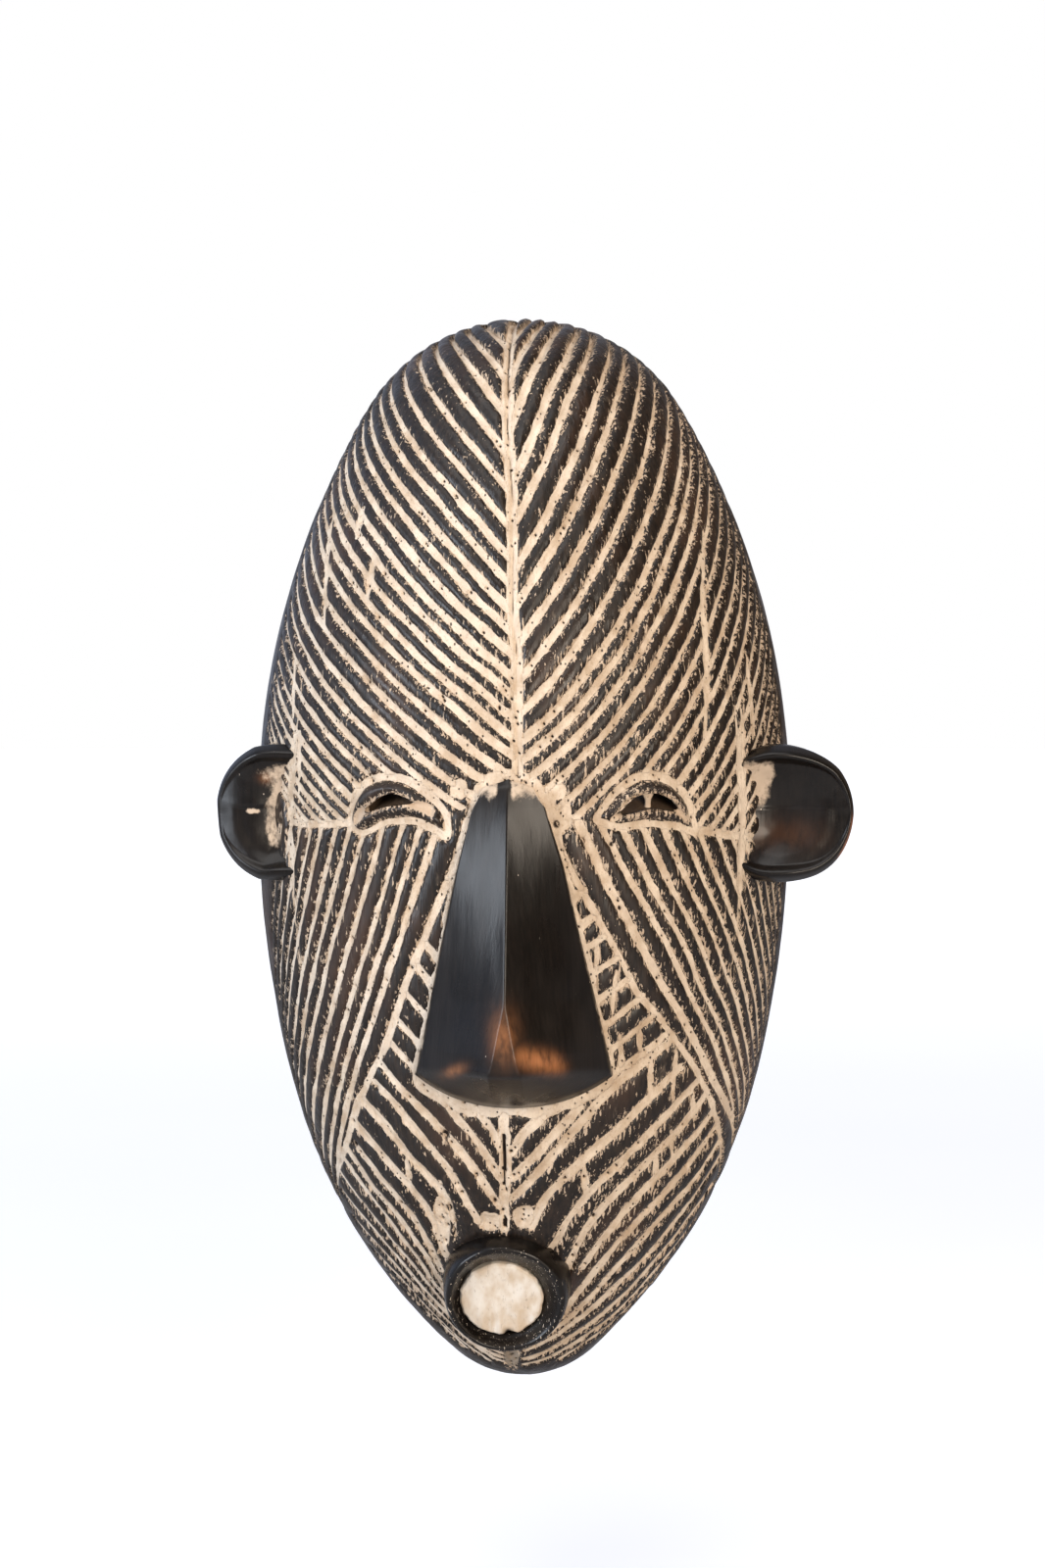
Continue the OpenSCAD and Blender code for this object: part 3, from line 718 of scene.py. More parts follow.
for pu, pv, pr in spots:
    i0, j0 = np.searchsorted(-row_v, -pv), int(np.argmin(np.abs(grid_u[np.searchsorted(-row_v, -pv)] - pu)))
    near_by = slice(max(i0 - 9, 0), i0 + 9), slice(max(j0 - 9, 0), j0 + 9)
    r2 = (grid_u[near_by] - pu) ** 2 + ((grid_v[near_by] - pv) * 0.8) ** 2
    pit[near_by] = np.maximum(pit[near_by], np.exp(-r2 / pr ** 2))
slit = np.abs(cuts.u + 2.2) < 0.5 + 0.15 * noise(grid_v / 1.5, grid_v * 0, 87)
slit &= ((grid_v > -100) & (grid_v < -84)) | ((grid_v > -114) & (grid_v < -110.5))
pit = np.maximum(pit, 0.9 * slit)
pit = np.maximum(pit, 0.62 * groove_line * (owner == 0) * ramp(noise(gx / 9, gz / 6, 89), -0.5, 0.3))
clay += 1.1 * pit
clay_depth = clay * pole + 1.0 * (1 - pole)

index = np.arange((rows + 1) * (cols + 1)).reshape(rows + 1, cols + 1)
for r in (0, rows):
    index[r, rim_cols:rim_cols + dome_cols + 1] = index[r, rim_cols]
    index[r, -rim_cols - 1:] = index[r, :rim_cols + 1][::-1]
count = index.size
outer = sheet(wood).reshape(-1, 3)
gouge = 0.8 * np.abs(np.sin(gx / 3.1 + 1.5 * noise(gx / 14, gz / 25, 91))) * ramp(gy, -120, -20)
gouge += 0.35 * fbm(gx / 9 + gy / 9, gz / 15, 93, 2) + 0.25 * np.abs(noise(gx / 5 + gy / 4, gz / 12, 95))
gouge *= ramp(RIM_D - rim_q, 0.0, 4.0) * pole
inner = sheet(WALL - gouge).reshape(-1, 3)
everything = np.concatenate([outer, inner])


def split_degenerate(quads):
    """Quads that have two corners in one place become triangles."""
    same = [(quads[:, a] == quads[:, (a + 1) % 4]) for a in range(4)]
    bad = same[0] | same[1] | same[2] | same[3]
    tris = []
    for a in range(4):
        here = same[a] & ~(same[(a + 1) % 4] | same[(a + 2) % 4] | same[(a + 3) % 4])
        q = quads[here]
        tris.append(np.stack([q[:, a], q[:, (a + 2) % 4], q[:, (a + 3) % 4]], -1))
    return quads[~bad], np.concatenate(tris)


def grid_quads(mask, flip=False, step=1):
    """Faces of the grid's cells that mask picks, wound to face outwards."""
    a = index[:-1:step, :-1:step][mask]
    b = index[:-1:step, step::step][mask]
    c = index[step::step, :-1:step][mask]
    d = index[step::step, step::step][mask]
    return np.stack([a, b, d, c] if flip else [a, c, d, b], -1)


def quarter(name, row_range, col_range):
    """A closed block of the shell: its carved face, its hollow, and the walls that join their edges."""
    r0, r1 = row_range
    c0, c1 = col_range
    fine = np.zeros((rows, cols), bool)
    fine[r0:r1, c0:c1] = True
    quads, tris = split_degenerate(grid_quads(fine))
    big = np.zeros((rows // COARSE, cols // COARSE), bool)
    big[r0 // COARSE:r1 // COARSE, c0 // COARSE:c1 // COARSE] = True
    in_quads, in_tris = split_degenerate(grid_quads(big, True, COARSE))
    edges = []
    for i, j in zip(*[a * COARSE for a in np.nonzero(big)]):
        if i == r0:
            edges.append(index[i, j:j + COARSE + 1])
        if i + COARSE == r1:
            edges.append(index[i + COARSE, j:j + COARSE + 1][::-1])
        if j == c0:
            edges.append(index[i:i + COARSE + 1, j][::-1])
        if j + COARSE == c1:
            edges.append(index[i:i + COARSE + 1, j + COARSE])
    walls = []
    for e in edges:
        if e[0] == e[-1]:
            continue
        f0, f1, f2, f3 = e
        n0, n1 = f0 + count, f3 + count
        walls += [(f0, f1, n0), (f1, f2, n0), (n0, f2, n1), (f2, f3, n1)]
    walls = np.array(walls)
    o = make_mesh(name, everything, np.concatenate([quads, in_quads + count]),
                  np.concatenate([tris, in_tris + count, walls]), shell_values)
    face_out(o)
    return o


torn_most = 0.30 + 0.40 * ramp(gx, -8, 22) + 0.60 * blob(gx, gz, 26, 72, 26, 26)
torn_most += 0.25 * blob(gx, gz, 0, 190, 30, 22)
shell_values = {
    "torn": np.concatenate([torn_most.ravel(), np.zeros(count)]),
    "gap": np.concatenate([gap.ravel(), np.full(count, 9.0)]),
    "inside": np.concatenate([np.zeros(count), np.ones(count)]),
    "pit": np.concatenate([pit.ravel(), np.zeros(count)]),
}


def tube(name, rings, values=None):
    """A closed solid from rings of points, one after another, with both ends closed by a point."""
    n, m = rings.shape[:2]
    points = np.vstack([rings.reshape(-1, 3), rings[0].mean(0), rings[-1].mean(0)])
    i, j = np.meshgrid(np.arange(n - 1), np.arange(m), indexing="ij")
    a, b = i * m + j, i * m + (j + 1) % m
    quads = np.stack([a, b, b + m, a + m], -1).reshape(-1, 4)
    k = np.arange(m)
    first = np.stack([np.full(m, n * m), (k + 1) % m, k], -1)
    last = (n - 1) * m + np.stack([k, (k + 1) % m, np.full(m, m + 1)], -1)
    more = {key: np.r_[v.ravel(), v[0, 0], v[-1, 0]] for key, v in (values or {}).items()}
    o = make_mesh(name, points, quads, np.concatenate([first, last]), more)
    face_out(o)
    return o


def slab(name, front, back, mask=None, values=None):
    """A closed thin solid between two grids of points, over the cells that mask picks."""
    n, m = front.shape[:2]
    size = n * m
    at_cell = np.arange(size).reshape(n, m)
    mask = np.ones((n - 1, m - 1), bool) if mask is None else mask
    a, b, c, d = at_cell[:-1, :-1], at_cell[:-1, 1:], at_cell[1:, :-1], at_cell[1:, 1:]
    top = np.stack([a, c, d, b], -1)[mask]
    wide = np.zeros((n + 1, m + 1), bool)
    wide[1:-1, 1:-1] = mask
    walls = []
    for p, q, di, dj in ((b, a, 0, 1), (c, d, 2, 1), (a, c, 1, 0), (d, b, 1, 2)):
        open_side = mask & ~wide[di:di + n - 1, dj:dj + m - 1]
        p, q = p[open_side], q[open_side]
        walls.append(np.stack([q, p, p + size, q + size], -1))
    quads = np.concatenate([top, top[:, ::-1] + size] + walls)
    points = np.concatenate([front.reshape(-1, 3), back.reshape(-1, 3)])
    more = {key: np.r_[v.ravel(), v.ravel()] for key, v in (values or {}).items()}
    return make_mesh(name, points, quads, None, more)


CUT_WALL = {"gap": 9.0, "inside": 1.0}


def carve(o, cutter):
    """Cuts the cutter out of a piece and gives the cut piece back the values of the points that it had."""
    names = [a.name for a in o.data.attributes if a.domain == "POINT" and a.data_type == "FLOAT"]
    old = {}
    for key in names:
        old[key] = np.empty(len(o.data.vertices), np.float32)
        o.data.attributes[key].data.foreach_get("value", old[key])
    tree = kdtree.KDTree(len(o.data.vertices))
    for k, vert in enumerate(o.data.vertices):
        tree.insert(vert.co, k)
    tree.balance()
    mod = o.modifiers.new("cut", "BOOLEAN")
    mod.operation, mod.object, mod.solver = "DIFFERENCE", cutter, "MANIFOLD"
    done = bpy.data.meshes.new_from_object(o.evaluated_get(bpy.context.evaluated_depsgraph_get()))
    o.modifiers.clear()
    o.data = done
    found = [tree.find(vert.co)[1:] for vert in done.vertices]
    nearest = np.array([f[0] for f in found])
    fresh = np.array([f[1] for f in found]) > 0.8 * MM
    for key in names:
        if key in done.attributes:
            done.attributes.remove(done.attributes[key])
        value = np.where(fresh, CUT_WALL.get(key, 0.0), old[key][nearest]).astype(np.float32)
        done.attributes.new(key, "FLOAT", "POINT").data.foreach_set("value", value)


def drop(o):
    """Removes a cutter and its mesh."""
    mesh = o.data
    bpy.data.objects.remove(o)
    bpy.data.meshes.remove(mesh)


def on_sheet(u, v, depth):
    """Points of the dome at places of its unrolled sheet, a depth below the surface."""
    w, z, out, up = FACE(v)
    turn = u / np.maximum(w, 1)
    reach = w - depth * out
    return np.stack([reach * np.sin(turn), -RIM_D - reach * np.cos(turn), z - depth * up], -1)


def slot_cutter(side):
    """A solid the shape of an eye slot, from in front of the lids to behind the shell."""
    path = smooth_path(SLOTS[side], 0.6)[:-1]
    middle = path.mean(0)
    rings = []
    for depth in (-5.0, 0.0, 1.0, 4.0, 8.0, 12.0, 19.0):
        p = middle + (path - middle) * (1 + 0.02 * min(depth, 8.0))
        ragged = 0.25 * noise(p[:, 0] * 1.3, p[:, 1] * 1.3 + depth, 101) * min(max(depth, 0), 1)
        rings.append(on_sheet(p[:, 0] + ragged, p[:, 1] + 0.55 * max(depth, 0) + ragged, depth))
    return tube("slot_cutter", np.array(rings))


ROD_SIDES, ROD_TURN = 40, 0.07


def rod(start, end, r):
    """The two end rings of a straight round rod."""
    start, end = np.array(start, float), np.array(end, float)
    way = (end - start) / np.linalg.norm(end - start)
    a = np.cross(way, [0.31, 0.52, 0.79])
    a /= np.linalg.norm(a)
    b = np.cross(way, a)
    t = np.linspace(0, 2 * math.pi, ROD_SIDES, endpoint=False) + ROD_TURN
    ring = r * (np.cos(t)[:, None] * a + np.sin(t)[:, None] * b)
    return np.array([start + ring, end + ring])


# ======== materials ========
def paint_wood():
    """Stained wood with pale torn edges along the cuts, and bare wood inside the hollow."""
    m, n = material("dark_wood")
    cloud = n.noise(26, 3, 0.6, 1.8, 3.0)
    grain = n.noise(1.1, 3, 0.6, 14, 5.0)
    fine = n.noise(0.45, 2, 0.6, 9, 8.0)
    brown = n.step(cloud, 0.50, 0.72)
    colour = n.mix(n.step(grain, 0.3, 0.75), rgba(0.0068, 0.0044, 0.0032), rgba(0.024, 0.0150, 0.0098))
    colour = n.mix(n.times(brown, 0.55), colour, rgba(0.060, 0.030, 0.017))
    colour = n.mix(n.step(fine, 0.62, 0.80, 0.0, 0.35), colour, rgba(0.055, 0.042, 0.035))
    rough = n.step(n.noise(6, 3, 0.6, 3, 9.0), 0.3, 0.7, 0.27, 0.50)
    height = n.plus(n.times(grain, 0.9), n.times(fine, 0.5))
    height = n.plus(height, n.times(n.noise(4, 2, 0.5, 3.5, 10.0), 1.6))
    clay = rgba(0.62, 0.48, 0.35)
    gap = n.attribute("gap")
    torn = n.noise(0.75, 3, 0.7, 5.5, 11.0)
    broad = n.noise(5, 3, 0.6, 1.5, 13.0)
    strength = n.plus(n.attribute("torn"), n.step(broad, 0.45, 0.70, 0.0, 0.7))
    reach = n.times(n.step(torn, 0.42, 0.72, -0.25, 2.1), strength)
    film = n.step(n.minus(gap, reach), -0.12, 0.08, 1.0, 0.0)
    thread = n.noise(0.62, 2, 0.55, 6, 17.0)
    level = n.step(n.noise(8, 3, 0.6, 1.5, 19.0), 0.35, 0.68, 0.74, 0.625)
    level = n.plus(level, n.step(gap, 0.5, 2.2, -0.03, 0.02))
    fleck = n.step(n.minus(thread, level), 0.0, 0.03)
    worn_in = n.step(n.noise(7, 4, 0.75, 2.5, 23.0), 0.62, 0.76, 0.0, 0.22)
    inside = n.attribute("inside")
    outer = n.minus(1.0, inside)
    whitened = n.most(film, n.most(n.times(fleck, 0.85), worn_in))
    whitened = n.times(whitened, outer)
    clay_tone = n.mix(n.noise(4, 3, 0.6, 1, 29.0), rgba(0.40, 0.29, 0.20), clay)
    hollow = n.mix(grain, rgba(0.035, 0.022, 0.014), rgba(0.11, 0.072, 0.045))
    colour = n.mix(inside, colour, hollow)
    colour = n.mix(whitened, colour, clay_tone)
    rough = n.plus(rough, n.times(whitened, 0.35))
    height = n.plus(height, n.times(film, 0.9))
    finish_material(n, colour, rough, height, 0.20, 1.40)
    return m


def paint_polished():
    m, n = material("polished_wood")
    cloud = n.noise(18, 3, 0.6, 2.5, 31.0)
    grain = n.noise(0.9, 3, 0.6, 16, 33.0)
    colour = n.mix(n.step(grain, 0.3, 0.75), rgba(0.0038, 0.0028, 0.0022), rgba(0.0085, 0.0060, 0.0046))
    colour = n.mix(n.step(cloud, 0.45, 0.75, 0.0, 0.5), colour, rgba(0.019, 0.014, 0.011))
    worn = n.times(n.attribute("worn"), n.step(n.noise(2.6, 3, 0.6, 2.0, 35.0), 0.25, 0.6, 0.35, 1.0))
    colour = n.mix(worn, colour, n.mix(grain, rgba(0.24, 0.085, 0.03), rgba(0.46, 0.19, 0.075)))
    clay_edge = n.noise(3.2, 4, 0.7, 1.4, 37.0)
    smear = n.minus(n.plus(n.attribute("smear"), clay_edge), 0.5)
    smear = n.step(smear, 0.34, 0.66, 0.0, 0.9)
    smear_tone = n.mix(n.noise(3, 2, 0.5, 1, 39.0), rgba(0.50, 0.38, 0.28), rgba(0.70, 0.56, 0.42))
    colour = n.mix(smear, colour, smear_tone)
    speck = n.specks(1.3, 1.6, 41.0, 0.07, 0.13, 1.0, 0.10)
    thread = n.noise(0.40, 2, 0.6, 7, 43.0)
    flecks = n.step(n.plus(thread, n.times(n.attribute("pores"), 0.14)), 0.80, 0.83)
    colour = n.mix(n.most(speck, flecks), colour, rgba(0.62, 0.52, 0.42))
    rough = n.plus(n.step(cloud, 0.3, 0.7, 0.24, 0.36), n.times(smear, 0.4))
    finish_material(n, colour, rough, n.plus(n.times(grain, 0.35), n.times(smear, 0.8)), 0.10, 1.36)
    return m


def paint_clay():
    m, n = material("white_clay")
    tone = n.noise(5, 4, 0.6, 1.3, 51.0)
    fine = n.noise(0.7, 3, 0.6, 1.6, 53.0)
    broad = n.noise(45, 2, 0.5, 1, 55.0)
    colour = n.mix(n.step(tone, 0.3, 0.7), rgba(0.47, 0.345, 0.235), rgba(0.68, 0.555, 0.425))
    colour = n.mix(n.step(broad, 0.45, 0.65, 0.0, 0.4), colour, rgba(0.74, 0.64, 0.53))
    colour = n.mix(n.step(fine, 0.54, 0.74, 0.0, 0.50), colour, rgba(0.33, 0.215, 0.135))
    speck = n.specks(1.25, 1.4, 57.0, 0.13, 0.25, 0.9, 0.36)
    dark = n.most(speck, n.step(n.attribute("pit"), 0.35, 0.75))
    colour = n.mix(dark, colour, rgba(0.022, 0.014, 0.010))
    # the clay turns grey-tan in the oval spot at the chin's notch
    colour = n.mix(n.attribute("chin_grey_spot"), colour, rgba(0.16, 0.13, 0.10))
    height = n.plus(n.times(tone, 0.6), n.times(fine, 0.6))
    finish_material(n, colour, 0.92, n.minus(height, dark), 0.42, 1.35)
    return m


def paint_whitened():
    m, n = material("whitened_wood")
    tone = n.noise(7, 3, 0.6, 1.8, 61.0)
    streak = n.noise(0.7, 3, 0.65, 11, 63.0)
    colour = n.mix(n.step(tone, 0.35, 0.65), rgba(0.55, 0.43, 0.31), rgba(0.72, 0.66, 0.58))
    colour = n.mix(n.step(streak, 0.56, 0.76, 0.0, 0.55), colour, rgba(0.30, 0.23, 0.17))
    speck = n.specks(1.6, 1.8, 65.0, 0.10, 0.20, 1.0, 0.16)
    colour = n.mix(n.most(speck, n.attribute("rim")), colour, rgba(0.035, 0.025, 0.018))
    finish_material(n, colour, 0.72, n.plus(n.times(streak, 0.7), tone), 0.20, 1.4)
    return m


def paint_raw():
    m, n = material("raw_wood")
    grain = n.noise(5.6, 3, 0.6, 1 / 7, 71.0)
    colour = n.mix(grain, rgba(0.20, 0.12, 0.065), rgba(0.38, 0.25, 0.14))
    finish_material(n, colour, 0.75, grain, 0.12, 1.4)
    return m


dark_wood, polished = paint_wood(), paint_polished()
white_clay, whitened_wood, raw_wood = paint_clay(), paint_whitened(), paint_raw()

# ======== the shell, in four blocks, with its eye slots and holes ========
slots = {-1: slot_cutter(-1), 1: slot_cutter(1)}
HANG_Z, HANG_R, HANG_L = 297.0, 2.2, 12.0
STRAP_Z, STRAP_R, STRAP_Y = 128.0, 2.0, -7.0
hang = tube("hang_cutter", rod((0, 5, HANG_Z), (0, -HANG_L, HANG_Z), HANG_R))
straps = {}
for side in (-1, 1):
    ends = [(side * x, STRAP_Y, STRAP_Z) for x in (40, 90)]
    straps[side] = tube("strap_cutter", rod(*ends, STRAP_R))
for side, word, col_range in ((-1, "left", (0, mid_col)), (1, "right", (mid_col, cols))):
    upper = quarter("shell_upper_" + word, (0, mid_row), col_range)
    carve(upper, slots[side])
    carve(upper, hang)
    crisp(upper)
    keep(upper, dark_wood, "dark_wood", "mask_shell")
    lower = quarter("shell_lower_" + word, (mid_row, rows), col_range)
    carve(lower, straps[side])
    crisp(lower)
    keep(lower, dark_wood, "dark_wood", "mask_shell")
for o in (slots[-1], slots[1], hang, straps[-1], straps[1]):
    drop(o)

# ======== the clay in the cuts, one piece for each stretch of the carving ========
clay_top = sheet(clay_depth)
clay_low = sheet(np.maximum(wood, clay_depth) + 0.15)
filled = wood - clay_depth > -0.1
cell_filled = filled[:-1, :-1] | filled[1:, :-1] | filled[:-1, 1:] | filled[1:, 1:]
cell_filled &= (rim_q[:-1] < RIM_D - 1.5) & (rim_q[1:] < RIM_D - 1.5)
cell_filled[:3] = cell_filled[-3:] = False
# an oval at the chin's notch where the clay is greyed towards tan
chin_grey_spot = np.zeros(gap.shape) + 0.75 * (np.hypot((grid_u + 2.6) / 2.4, (grid_v + 170) / 6) < 1)
for k, node in enumerate(OWNERS):
    piece = slab(node, clay_top, clay_low, cell_filled & (owner[:-1, :-1] == k), {"pit": pit, "chin_grey_spot": chin_grey_spot})
    keep(piece, white_clay, "white_clay", node)

# a post of clay that crosses the right eye's slot
post_p = np.linspace(0, 1, 14)
turns = np.linspace(0, 2 * math.pi, 24, endpoint=False)
post_rings = []
for p in post_p:
    wide = np.interp(p, [0, 0.35, 0.7, 1], [1.7, 0.95, 0.85, 1.3])
    post_u = 38.4 - 0.3 * p + wide * np.cos(turns) * (1 + 0.12 * math.sin(9 * p))
    post_rings.append(on_sheet(post_u, 8.7 - 5.2 * p + 0 * turns, 1.5 - 0.9 * np.sin(turns)))
post_rings = np.array(post_rings)
flat = np.zeros(post_rings.shape[:2])
post = tube("clay_right_eye_post", post_rings, {"pit": flat, "chin_grey_spot": flat})
keep(post, white_clay, "white_clay", "clay_right_eye")

# ======== nose ========
NOSE_LEFT = [(12.5, -1.2), (10.5, -6.6), (4, -9.8), (-12, -14), (-33, -18.6), (-55, -23.2), (-67.5, -26.4),
             (-78, -27)]
NOSE_RIGHT = [(12.5, -0.6), (11, 5.6), (5, 9.4), (-10, 14.2), (-30, 18.9), (-50, 23.8), (-67, 27.8),
              (-78, 28.4)]


def along_edge(edge, v):
    e = np.array(edge)[::-1]
    return np.interp(v, e[:, 0], e[:, 1])


s = np.linspace(-1, 1, 161)[None, :] + np.zeros((241, 1))
t = np.linspace(0, 1, 241)[:, None] + np.zeros((1, 161))
nose_v = (12.3 - 2.5 * s ** 2) * (1 - t) + (-75.8 + 8.6 * np.abs(s) ** 2.2) * t
nose_u = np.where(s < 0, -s * along_edge(NOSE_LEFT, nose_v), s * along_edge(NOSE_RIGHT, nose_v))
base = on_sheet(nose_u, nose_v, 0.0)
nx, nz = base[..., 0], base[..., 2]
side_half = np.abs(np.where(s < 0, along_edge(NOSE_LEFT, nose_v), along_edge(NOSE_RIGHT, nose_v)))
edge_y = np.where(s < 0, base[:, :1, 1], base[:, -1:, 1]) - 1.6


def side_facets(x, z):
    """How far forward the two side facets and the small bevel at the ridge's foot reach, as a depth y."""
    ridge_y = np.interp(z, [86, 97, 101, 105, 109, 120, 178],
                        [-104, -106.6, -108.2, -108.9, -108.7, -106.2, -91.0])
    flat_half = np.interp(z, [90, 99, 103, 119, 180], [6.0, 5.0, 3.4, 0.22, 0.18])
    share = np.clip((np.abs(x + 0.3) - flat_half) / np.maximum(side_half - flat_half, 0.5), 0, 1)
    return ridge_y + (edge_y - ridge_y) * share


low_z = nz[-1:, :]
crest_z = 101.0 - 2.6 * np.abs(s) ** 2.4
rise = np.clip((nz - low_z) / (crest_z - low_z), 0, 1)
low_y = base[-1:, :, 1] - 2.4
crest_y = side_facets(nx, crest_z)
chisel = low_y + (crest_y - low_y) * (0.82 * rise + 0.18 * np.sin(rise * math.pi / 2))
front_y = np.where(nz > crest_z, side_facets(nx, nz), chisel)
front_y = np.minimum(front_y, base[..., 1] - 1.2)
for k in range(6):
    front_y[1:-1] = (front_y[:-2] + 2 * front_y[1:-1] + front_y[2:]) / 4
front_y = front_y + 0.12 * fbm(nx / 8 + 40, nz / 13, 111, 2) + 0.03 * noise(nx / 2.2, nz / 9, 113)
rim_in = np.minimum(np.minimum(1 - np.abs(s), 0.9 * t), 1.2 * (1 - t))
front_y = front_y + 1.1 * (1 - ramp(rim_in, 0.0, 0.035)) ** 2
nose_front = np.stack([nx, front_y, nz], -1)
nose_back = on_sheet(nose_u, nose_v, 1.6)
patch = blob(nx, nz + 0.35 * (nx - 8), 8.5, 104.5, 6.0, 2.6, 4)
patch = np.maximum(patch, 0.55 * blob(nx, nz, -0.5, 111, 3.2, 6))
patch = np.maximum(patch, 0.6 * blob(nx, nz - 0.5 * (nx + 14), -14, 100.5, 3.0, 1.6))
top_smear = 0.7 * ramp(nz, 167, 175) * ramp(np.abs(nx + 1.2), 0.3, 2.5) + 0.45 * ramp(np.abs(s), 0.95, 1.0)
nose = slab("nose", nose_front, nose_back, None,
            {"worn": patch, "smear": np.clip(top_smear, 0, 1), "pores": np.full(s.shape, 0.05)})
face_out(nose)
keep(nose, polished, "polished_wood", "nose")

# ======== ears ========
EAR_FRONT, EAR_T = 56.0, 16.0


def ear(side):
    """A half-round plate with a dished front, a raised rim and a root set into the shell."""
    word = "left" if side < 0 else "right"
    cx, cz, r, power, flatter, swell_least, roll_most = EARS[side]
    turns = np.linspace(0, 2 * math.pi, 260, endpoint=False)[None, :]
    c, sn = np.cos(turns), np.sin(turns)
    size = r * (np.abs(c) ** power + np.abs(sn) ** power) ** (-1 / power)
    size = size * (1 + 0.012 * np.sin(3 * turns + side) + 0.008 * np.sin(5 * turns))
    size = np.where(c > 0, np.minimum(size, r * (1.08 - 0.07 * c)), size) + 1.0 * ramp(c, 0.2, 1.0)
    rim = 1.5 + 3.6 * np.abs(sn) ** 1.6
    p = np.linspace(0.004, 1, 110)[:, None]
    dish_to = 1 - rim / size
    inner_p = np.clip(p / 0.62, 0, 1) * dish_to
    hollow = 4.4 * (1 - flatter * ramp(inner_p * c, -0.25, 0.9))
    over = np.clip((p - 0.62) / 0.14, 0, 1)
    swell = rim * (swell_least + 0.42 * np.abs(sn))
    rho = size * inner_p + rim * over
    depth = hollow * (1 - (inner_p / dish_to) ** 2.4)
    depth = depth - swell * np.sin(math.pi * over) ** 1.4 + 1.3 * over ** 4
    wall = np.clip((p - 0.76) / 0.14, 0, 1)
    roll = roll_most * ramp(c, 0.0, 0.85) * (1 - np.abs(sn) ** 2)
    depth = depth + roll * (rho / size) ** 2.3 * (1 - wall) + (EAR_T - 3.3) * wall
    back = np.clip((p - 0.90) / 0.10, 0, 1)
    rho = rho * np.where(back > 0, 1 - back * 0.995, 1) + 0 * turns
    rho = np.maximum(rho, 0.03)
    depth = depth + 2.0 * np.minimum(1, 5 * back)
    x, z = side * (cx + rho * c), cz + rho * sn
    step = 0.55 * ramp(cz + 1.5 - z, -0.7, 0.7) * ramp(-rho / size, -0.78, -0.6) * (1 if side < 0 else -0.6)
    bumpy = 0.14 * fbm(x / 6, z / 5, 121 + side, 2) * ramp(p, 0.0, 0.05)
    y = -EAR_FRONT + depth + step * (p < 0.62) + bumpy * (p < 0.8) + 1.6
    root = FACE(FACE.v_of(z))[0] - 4.0
    reach = np.hypot(x, y + RIM_D)
    push = np.maximum(root / np.maximum(reach, 1.0), 1.0)
    rings = np.stack([x * push, (y + RIM_D) * push - RIM_D, z], -1)
    out_x = side * x
    if side < 0:
        smear = 0.62 * ramp(-out_x, -76.2, -64.7) * ramp(-np.abs(z - 167), -15.5, -9)
        smear = np.maximum(smear, 0.8 * blob(out_x, z, 72.7, 165.7, 2.2, 1.0, 4))
        smear = np.maximum(smear, 0.7 * blob(out_x, z, 67.7, 158.5, 1.8, 2.4))
        worn = 0.35 * blob(out_x, z, 68.7, 175, 2.2, 1.4)
    else:
        worn = 0.9 * ramp(rho / size, 0.95, 1.0) * ramp(-z, -168, -162)
        worn = worn * ramp(z, 148, 155) * ramp(out_x, 86, 89)
        worn = np.maximum(worn, 0.10 * ramp(-out_x, -90, -74) * np.exp(-((z - 160) / 4) ** 2))
        smear = 0.66 * ramp(-out_x + 0.25 * (z - 174), -72.5, -67.5)
        smear = smear * ramp(z, 161, 171) * ramp(-z, -183, -177)
    pores = np.full(x.shape, 0.15)
    o = tube(word + "_ear", rings, {"worn": worn * (depth < 9), "smear": smear * (depth < 9), "pores": pores})
    keep(o, polished, "polished_wood", word + "_ear")


ear(-1)
ear(1)

# ======== mouth ========
MOUTH_AT, MOUTH_TILT = np.array([-2.5, -65.0, 33.0]), 110 * RADIAN


def at_mouth(x, y, z):
    """A point of the mouth's own frame: x across, y up the ring, z out of its front."""
    cs, sn = math.cos(MOUTH_TILT), math.sin(MOUTH_TILT)
    return np.stack([x + MOUTH_AT[0], y * cs - z * sn + MOUTH_AT[1], y * sn + z * cs + MOUTH_AT[2]], -1)


RING_SHAPE = [(11.7, -14.5), (11.65, -9), (11.65, -4.9), (11.9, -4.1), (12.8, -2.9), (14.0, -1.2),
              (14.7, -0.3), (15.3, 0.1), (16.0, -0.1), (16.6, -1.2), (17.2, -4.0), (17.6, -9), (17.4, -14)]
DISC_MOVE = np.array([-1.2, -1.9])
shape = smooth_path(RING_SHAPE, 0.35)
turns = np.linspace(0, 2 * math.pi, 300, endpoint=False)
rr, zz = shape[:, :1] + 0 * turns, shape[:, 1:] + 0 * turns
shift = ramp(-rr, -15.3, -12.0)
uneven = 0.10 * noise(np.cos(turns) * 5 + rr / 3, np.sin(turns) * 5, 131)
rr = rr * (1 + 0.02 * np.sin(turns) ** 2 + 0.008 * np.sin(3 * turns + 1)) + uneven
ring_x, ring_y = rr * np.cos(turns) + shift * DISC_MOVE[0], rr * np.sin(turns) + shift * DISC_MOVE[1]
zz = zz + 0.10 * noise(ring_x / 3, ring_y / 5, 133)
ring_at = at_mouth(ring_x, ring_y, zz)
n_ring, m_ring = rr.shape
i, j = np.meshgrid(np.arange(n_ring), np.arange(m_ring), indexing="ij")
a, b = i * m_ring + j, i * m_ring + (j + 1) % m_ring
up = ((i + 1) % n_ring) * m_ring
quads = np.stack([a, b, up + (j + 1) % m_ring, up + j], -1).reshape(-1, 4)
mouth_ring = make_mesh("mouth_ring", ring_at.reshape(-1, 3), quads, None,
                       {"worn": 0 * rr.ravel(), "smear": 0 * rr.ravel(), "pores": 1.0 * (rr < 16.6).ravel()})
face_out(mouth_ring)
keep(mouth_ring, polished, "polished_wood", "mouth_ring")

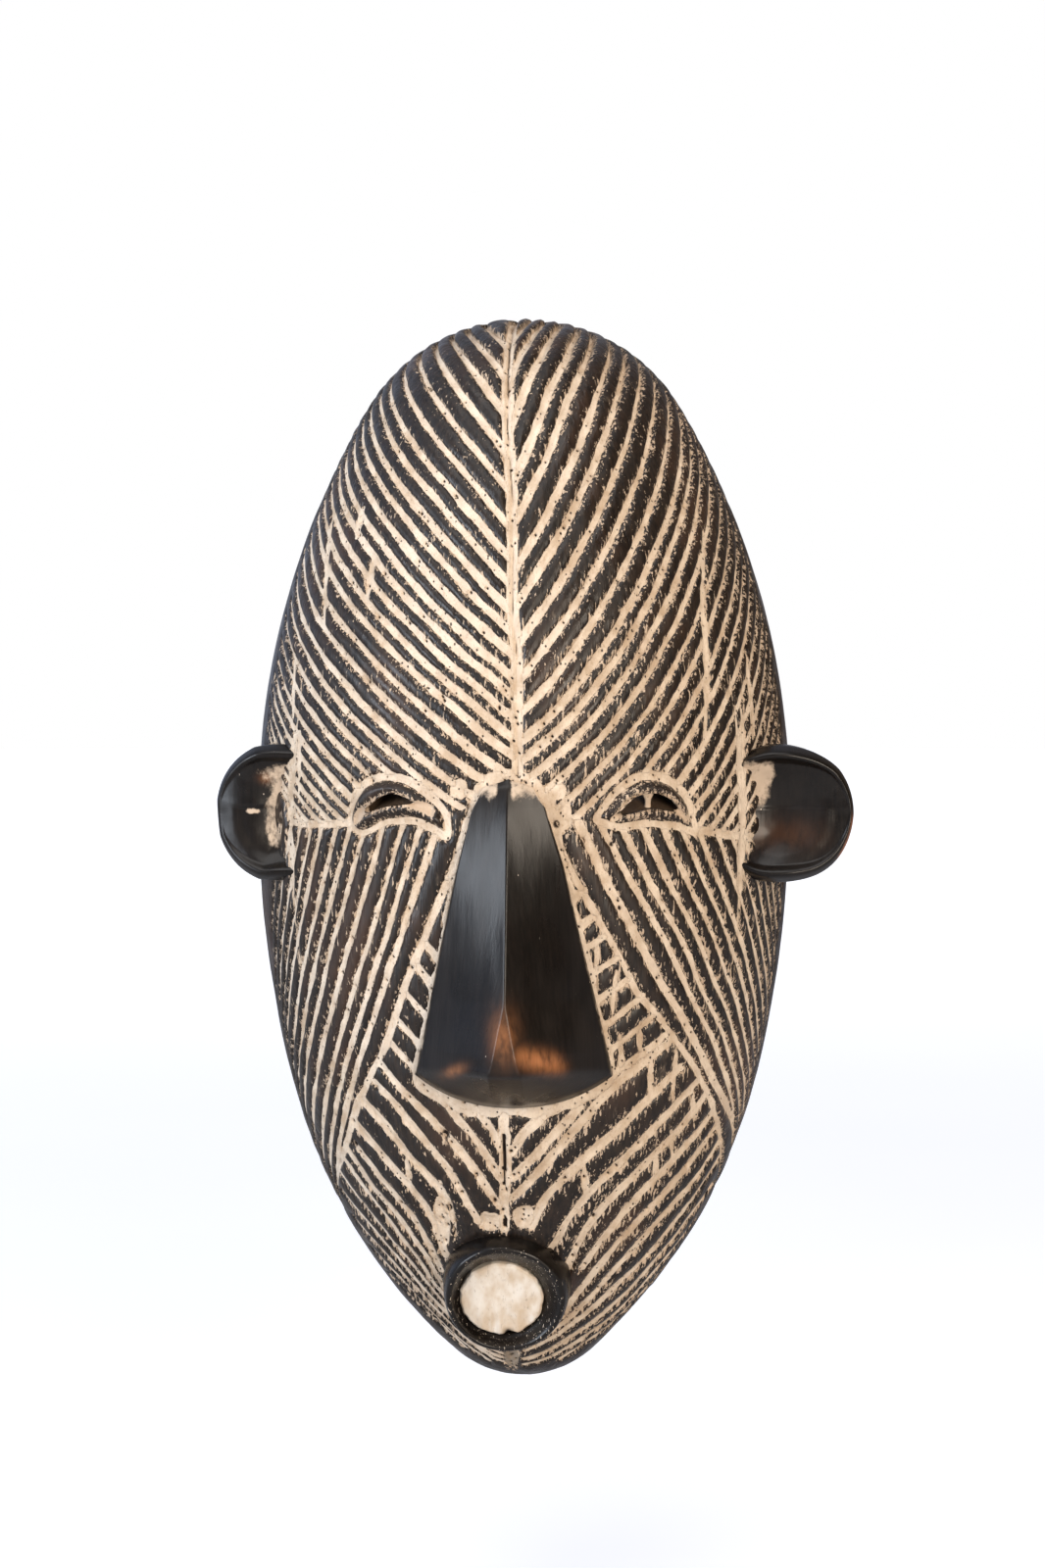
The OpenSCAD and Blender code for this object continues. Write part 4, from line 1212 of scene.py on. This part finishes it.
rad = np.concatenate([np.linspace(0.03, 10.7, 56), np.linspace(10.9, 11.4, 5), np.full(14, 11.4)])
rad = rad[:, None] + 0 * turns
facet = math.pi / 5.5
edge_cut = np.cos(facet / 2) / np.cos((turns + 0.5) % facet - facet / 2)
ragged = 0.22 * noise(turns * 9, turns * 0, 141) * ramp(rad, 9.5, 12)
sunk = np.concatenate([np.zeros(56), np.linspace(0.05, 0.6, 5), np.linspace(0.9, 12.0, 14)])[:, None]
size = rad * (1 + (edge_cut - 1) * 0.55 * ramp(rad, 2, 12)) * 1.015 + ragged
notch = np.exp(-((turns - 4.87) / 0.13) ** 2) * ramp(rad, 8.5, 11.8)
size = size * (1 - 0.085 * notch)
disc_x, disc_y = size * np.cos(turns) + DISC_MOVE[0], size * np.sin(turns) + DISC_MOVE[1]
cracks = 0.5 * ramp(-disc_y, 4, 11) * np.abs(noise(disc_x / 1.6, disc_y / 9, 145))
disc_z = -3.0 - sunk + 0.22 * fbm(disc_x / 5, disc_y / 7, 143, 2) - cracks
disc = tube("mouth_disc", at_mouth(disc_x, disc_y, disc_z), {"rim": np.clip(notch * 1.6, 0, 1)})
keep(disc, whitened_wood, "whitened_wood", "mouth_disc")

# ======== pegs, inside the wood ========
PEG_SHAPE = [(0, 0.86), (0.03, 0.94), (0.07, 1.0), (0.3, 1.0), (0.6, 1.0), (0.93, 1.0), (0.97, 0.94),
             (1.0, 0.86)]


def peg(start, end, r, name):
    """A round whittled peg with a bevel at each end."""
    near_ring, far_ring = rod(start, end, r)
    rings = []
    for p, thick in PEG_SHAPE:
        ring = near_ring + (far_ring - near_ring) * p
        rings.append(ring.mean(0) + (ring - ring.mean(0)) * thick)
    return tube(name, np.array(rings))


NOSE_PEG_R, NOSE_PEG_L = 3.5, 16
EAR_PEG_R, EAR_PEG_Y, EAR_PEG_FROM, EAR_PEG_TO = 3.0, -46.5, 60, 77
for k, (z, y) in enumerate(((112, -95), (142, -96))):
    nose_peg = peg((0, y, z), (0, y + NOSE_PEG_L, z), NOSE_PEG_R, "nose_peg_%d" % (k + 1))
    keep(nose_peg, raw_wood, "raw_wood", "nose_pegs")
for side, word in ((-1, "left"), (1, "right")):
    for k, dz in enumerate((-8, 8)):
        z = EARS[side][1] + dz
        ends = [(side * x, EAR_PEG_Y, z) for x in (EAR_PEG_FROM, EAR_PEG_TO)]
        keep(peg(*ends, EAR_PEG_R, "%s_ear_peg_%d" % (word, k + 1)), raw_wood, "raw_wood", word + "_ear_pegs")
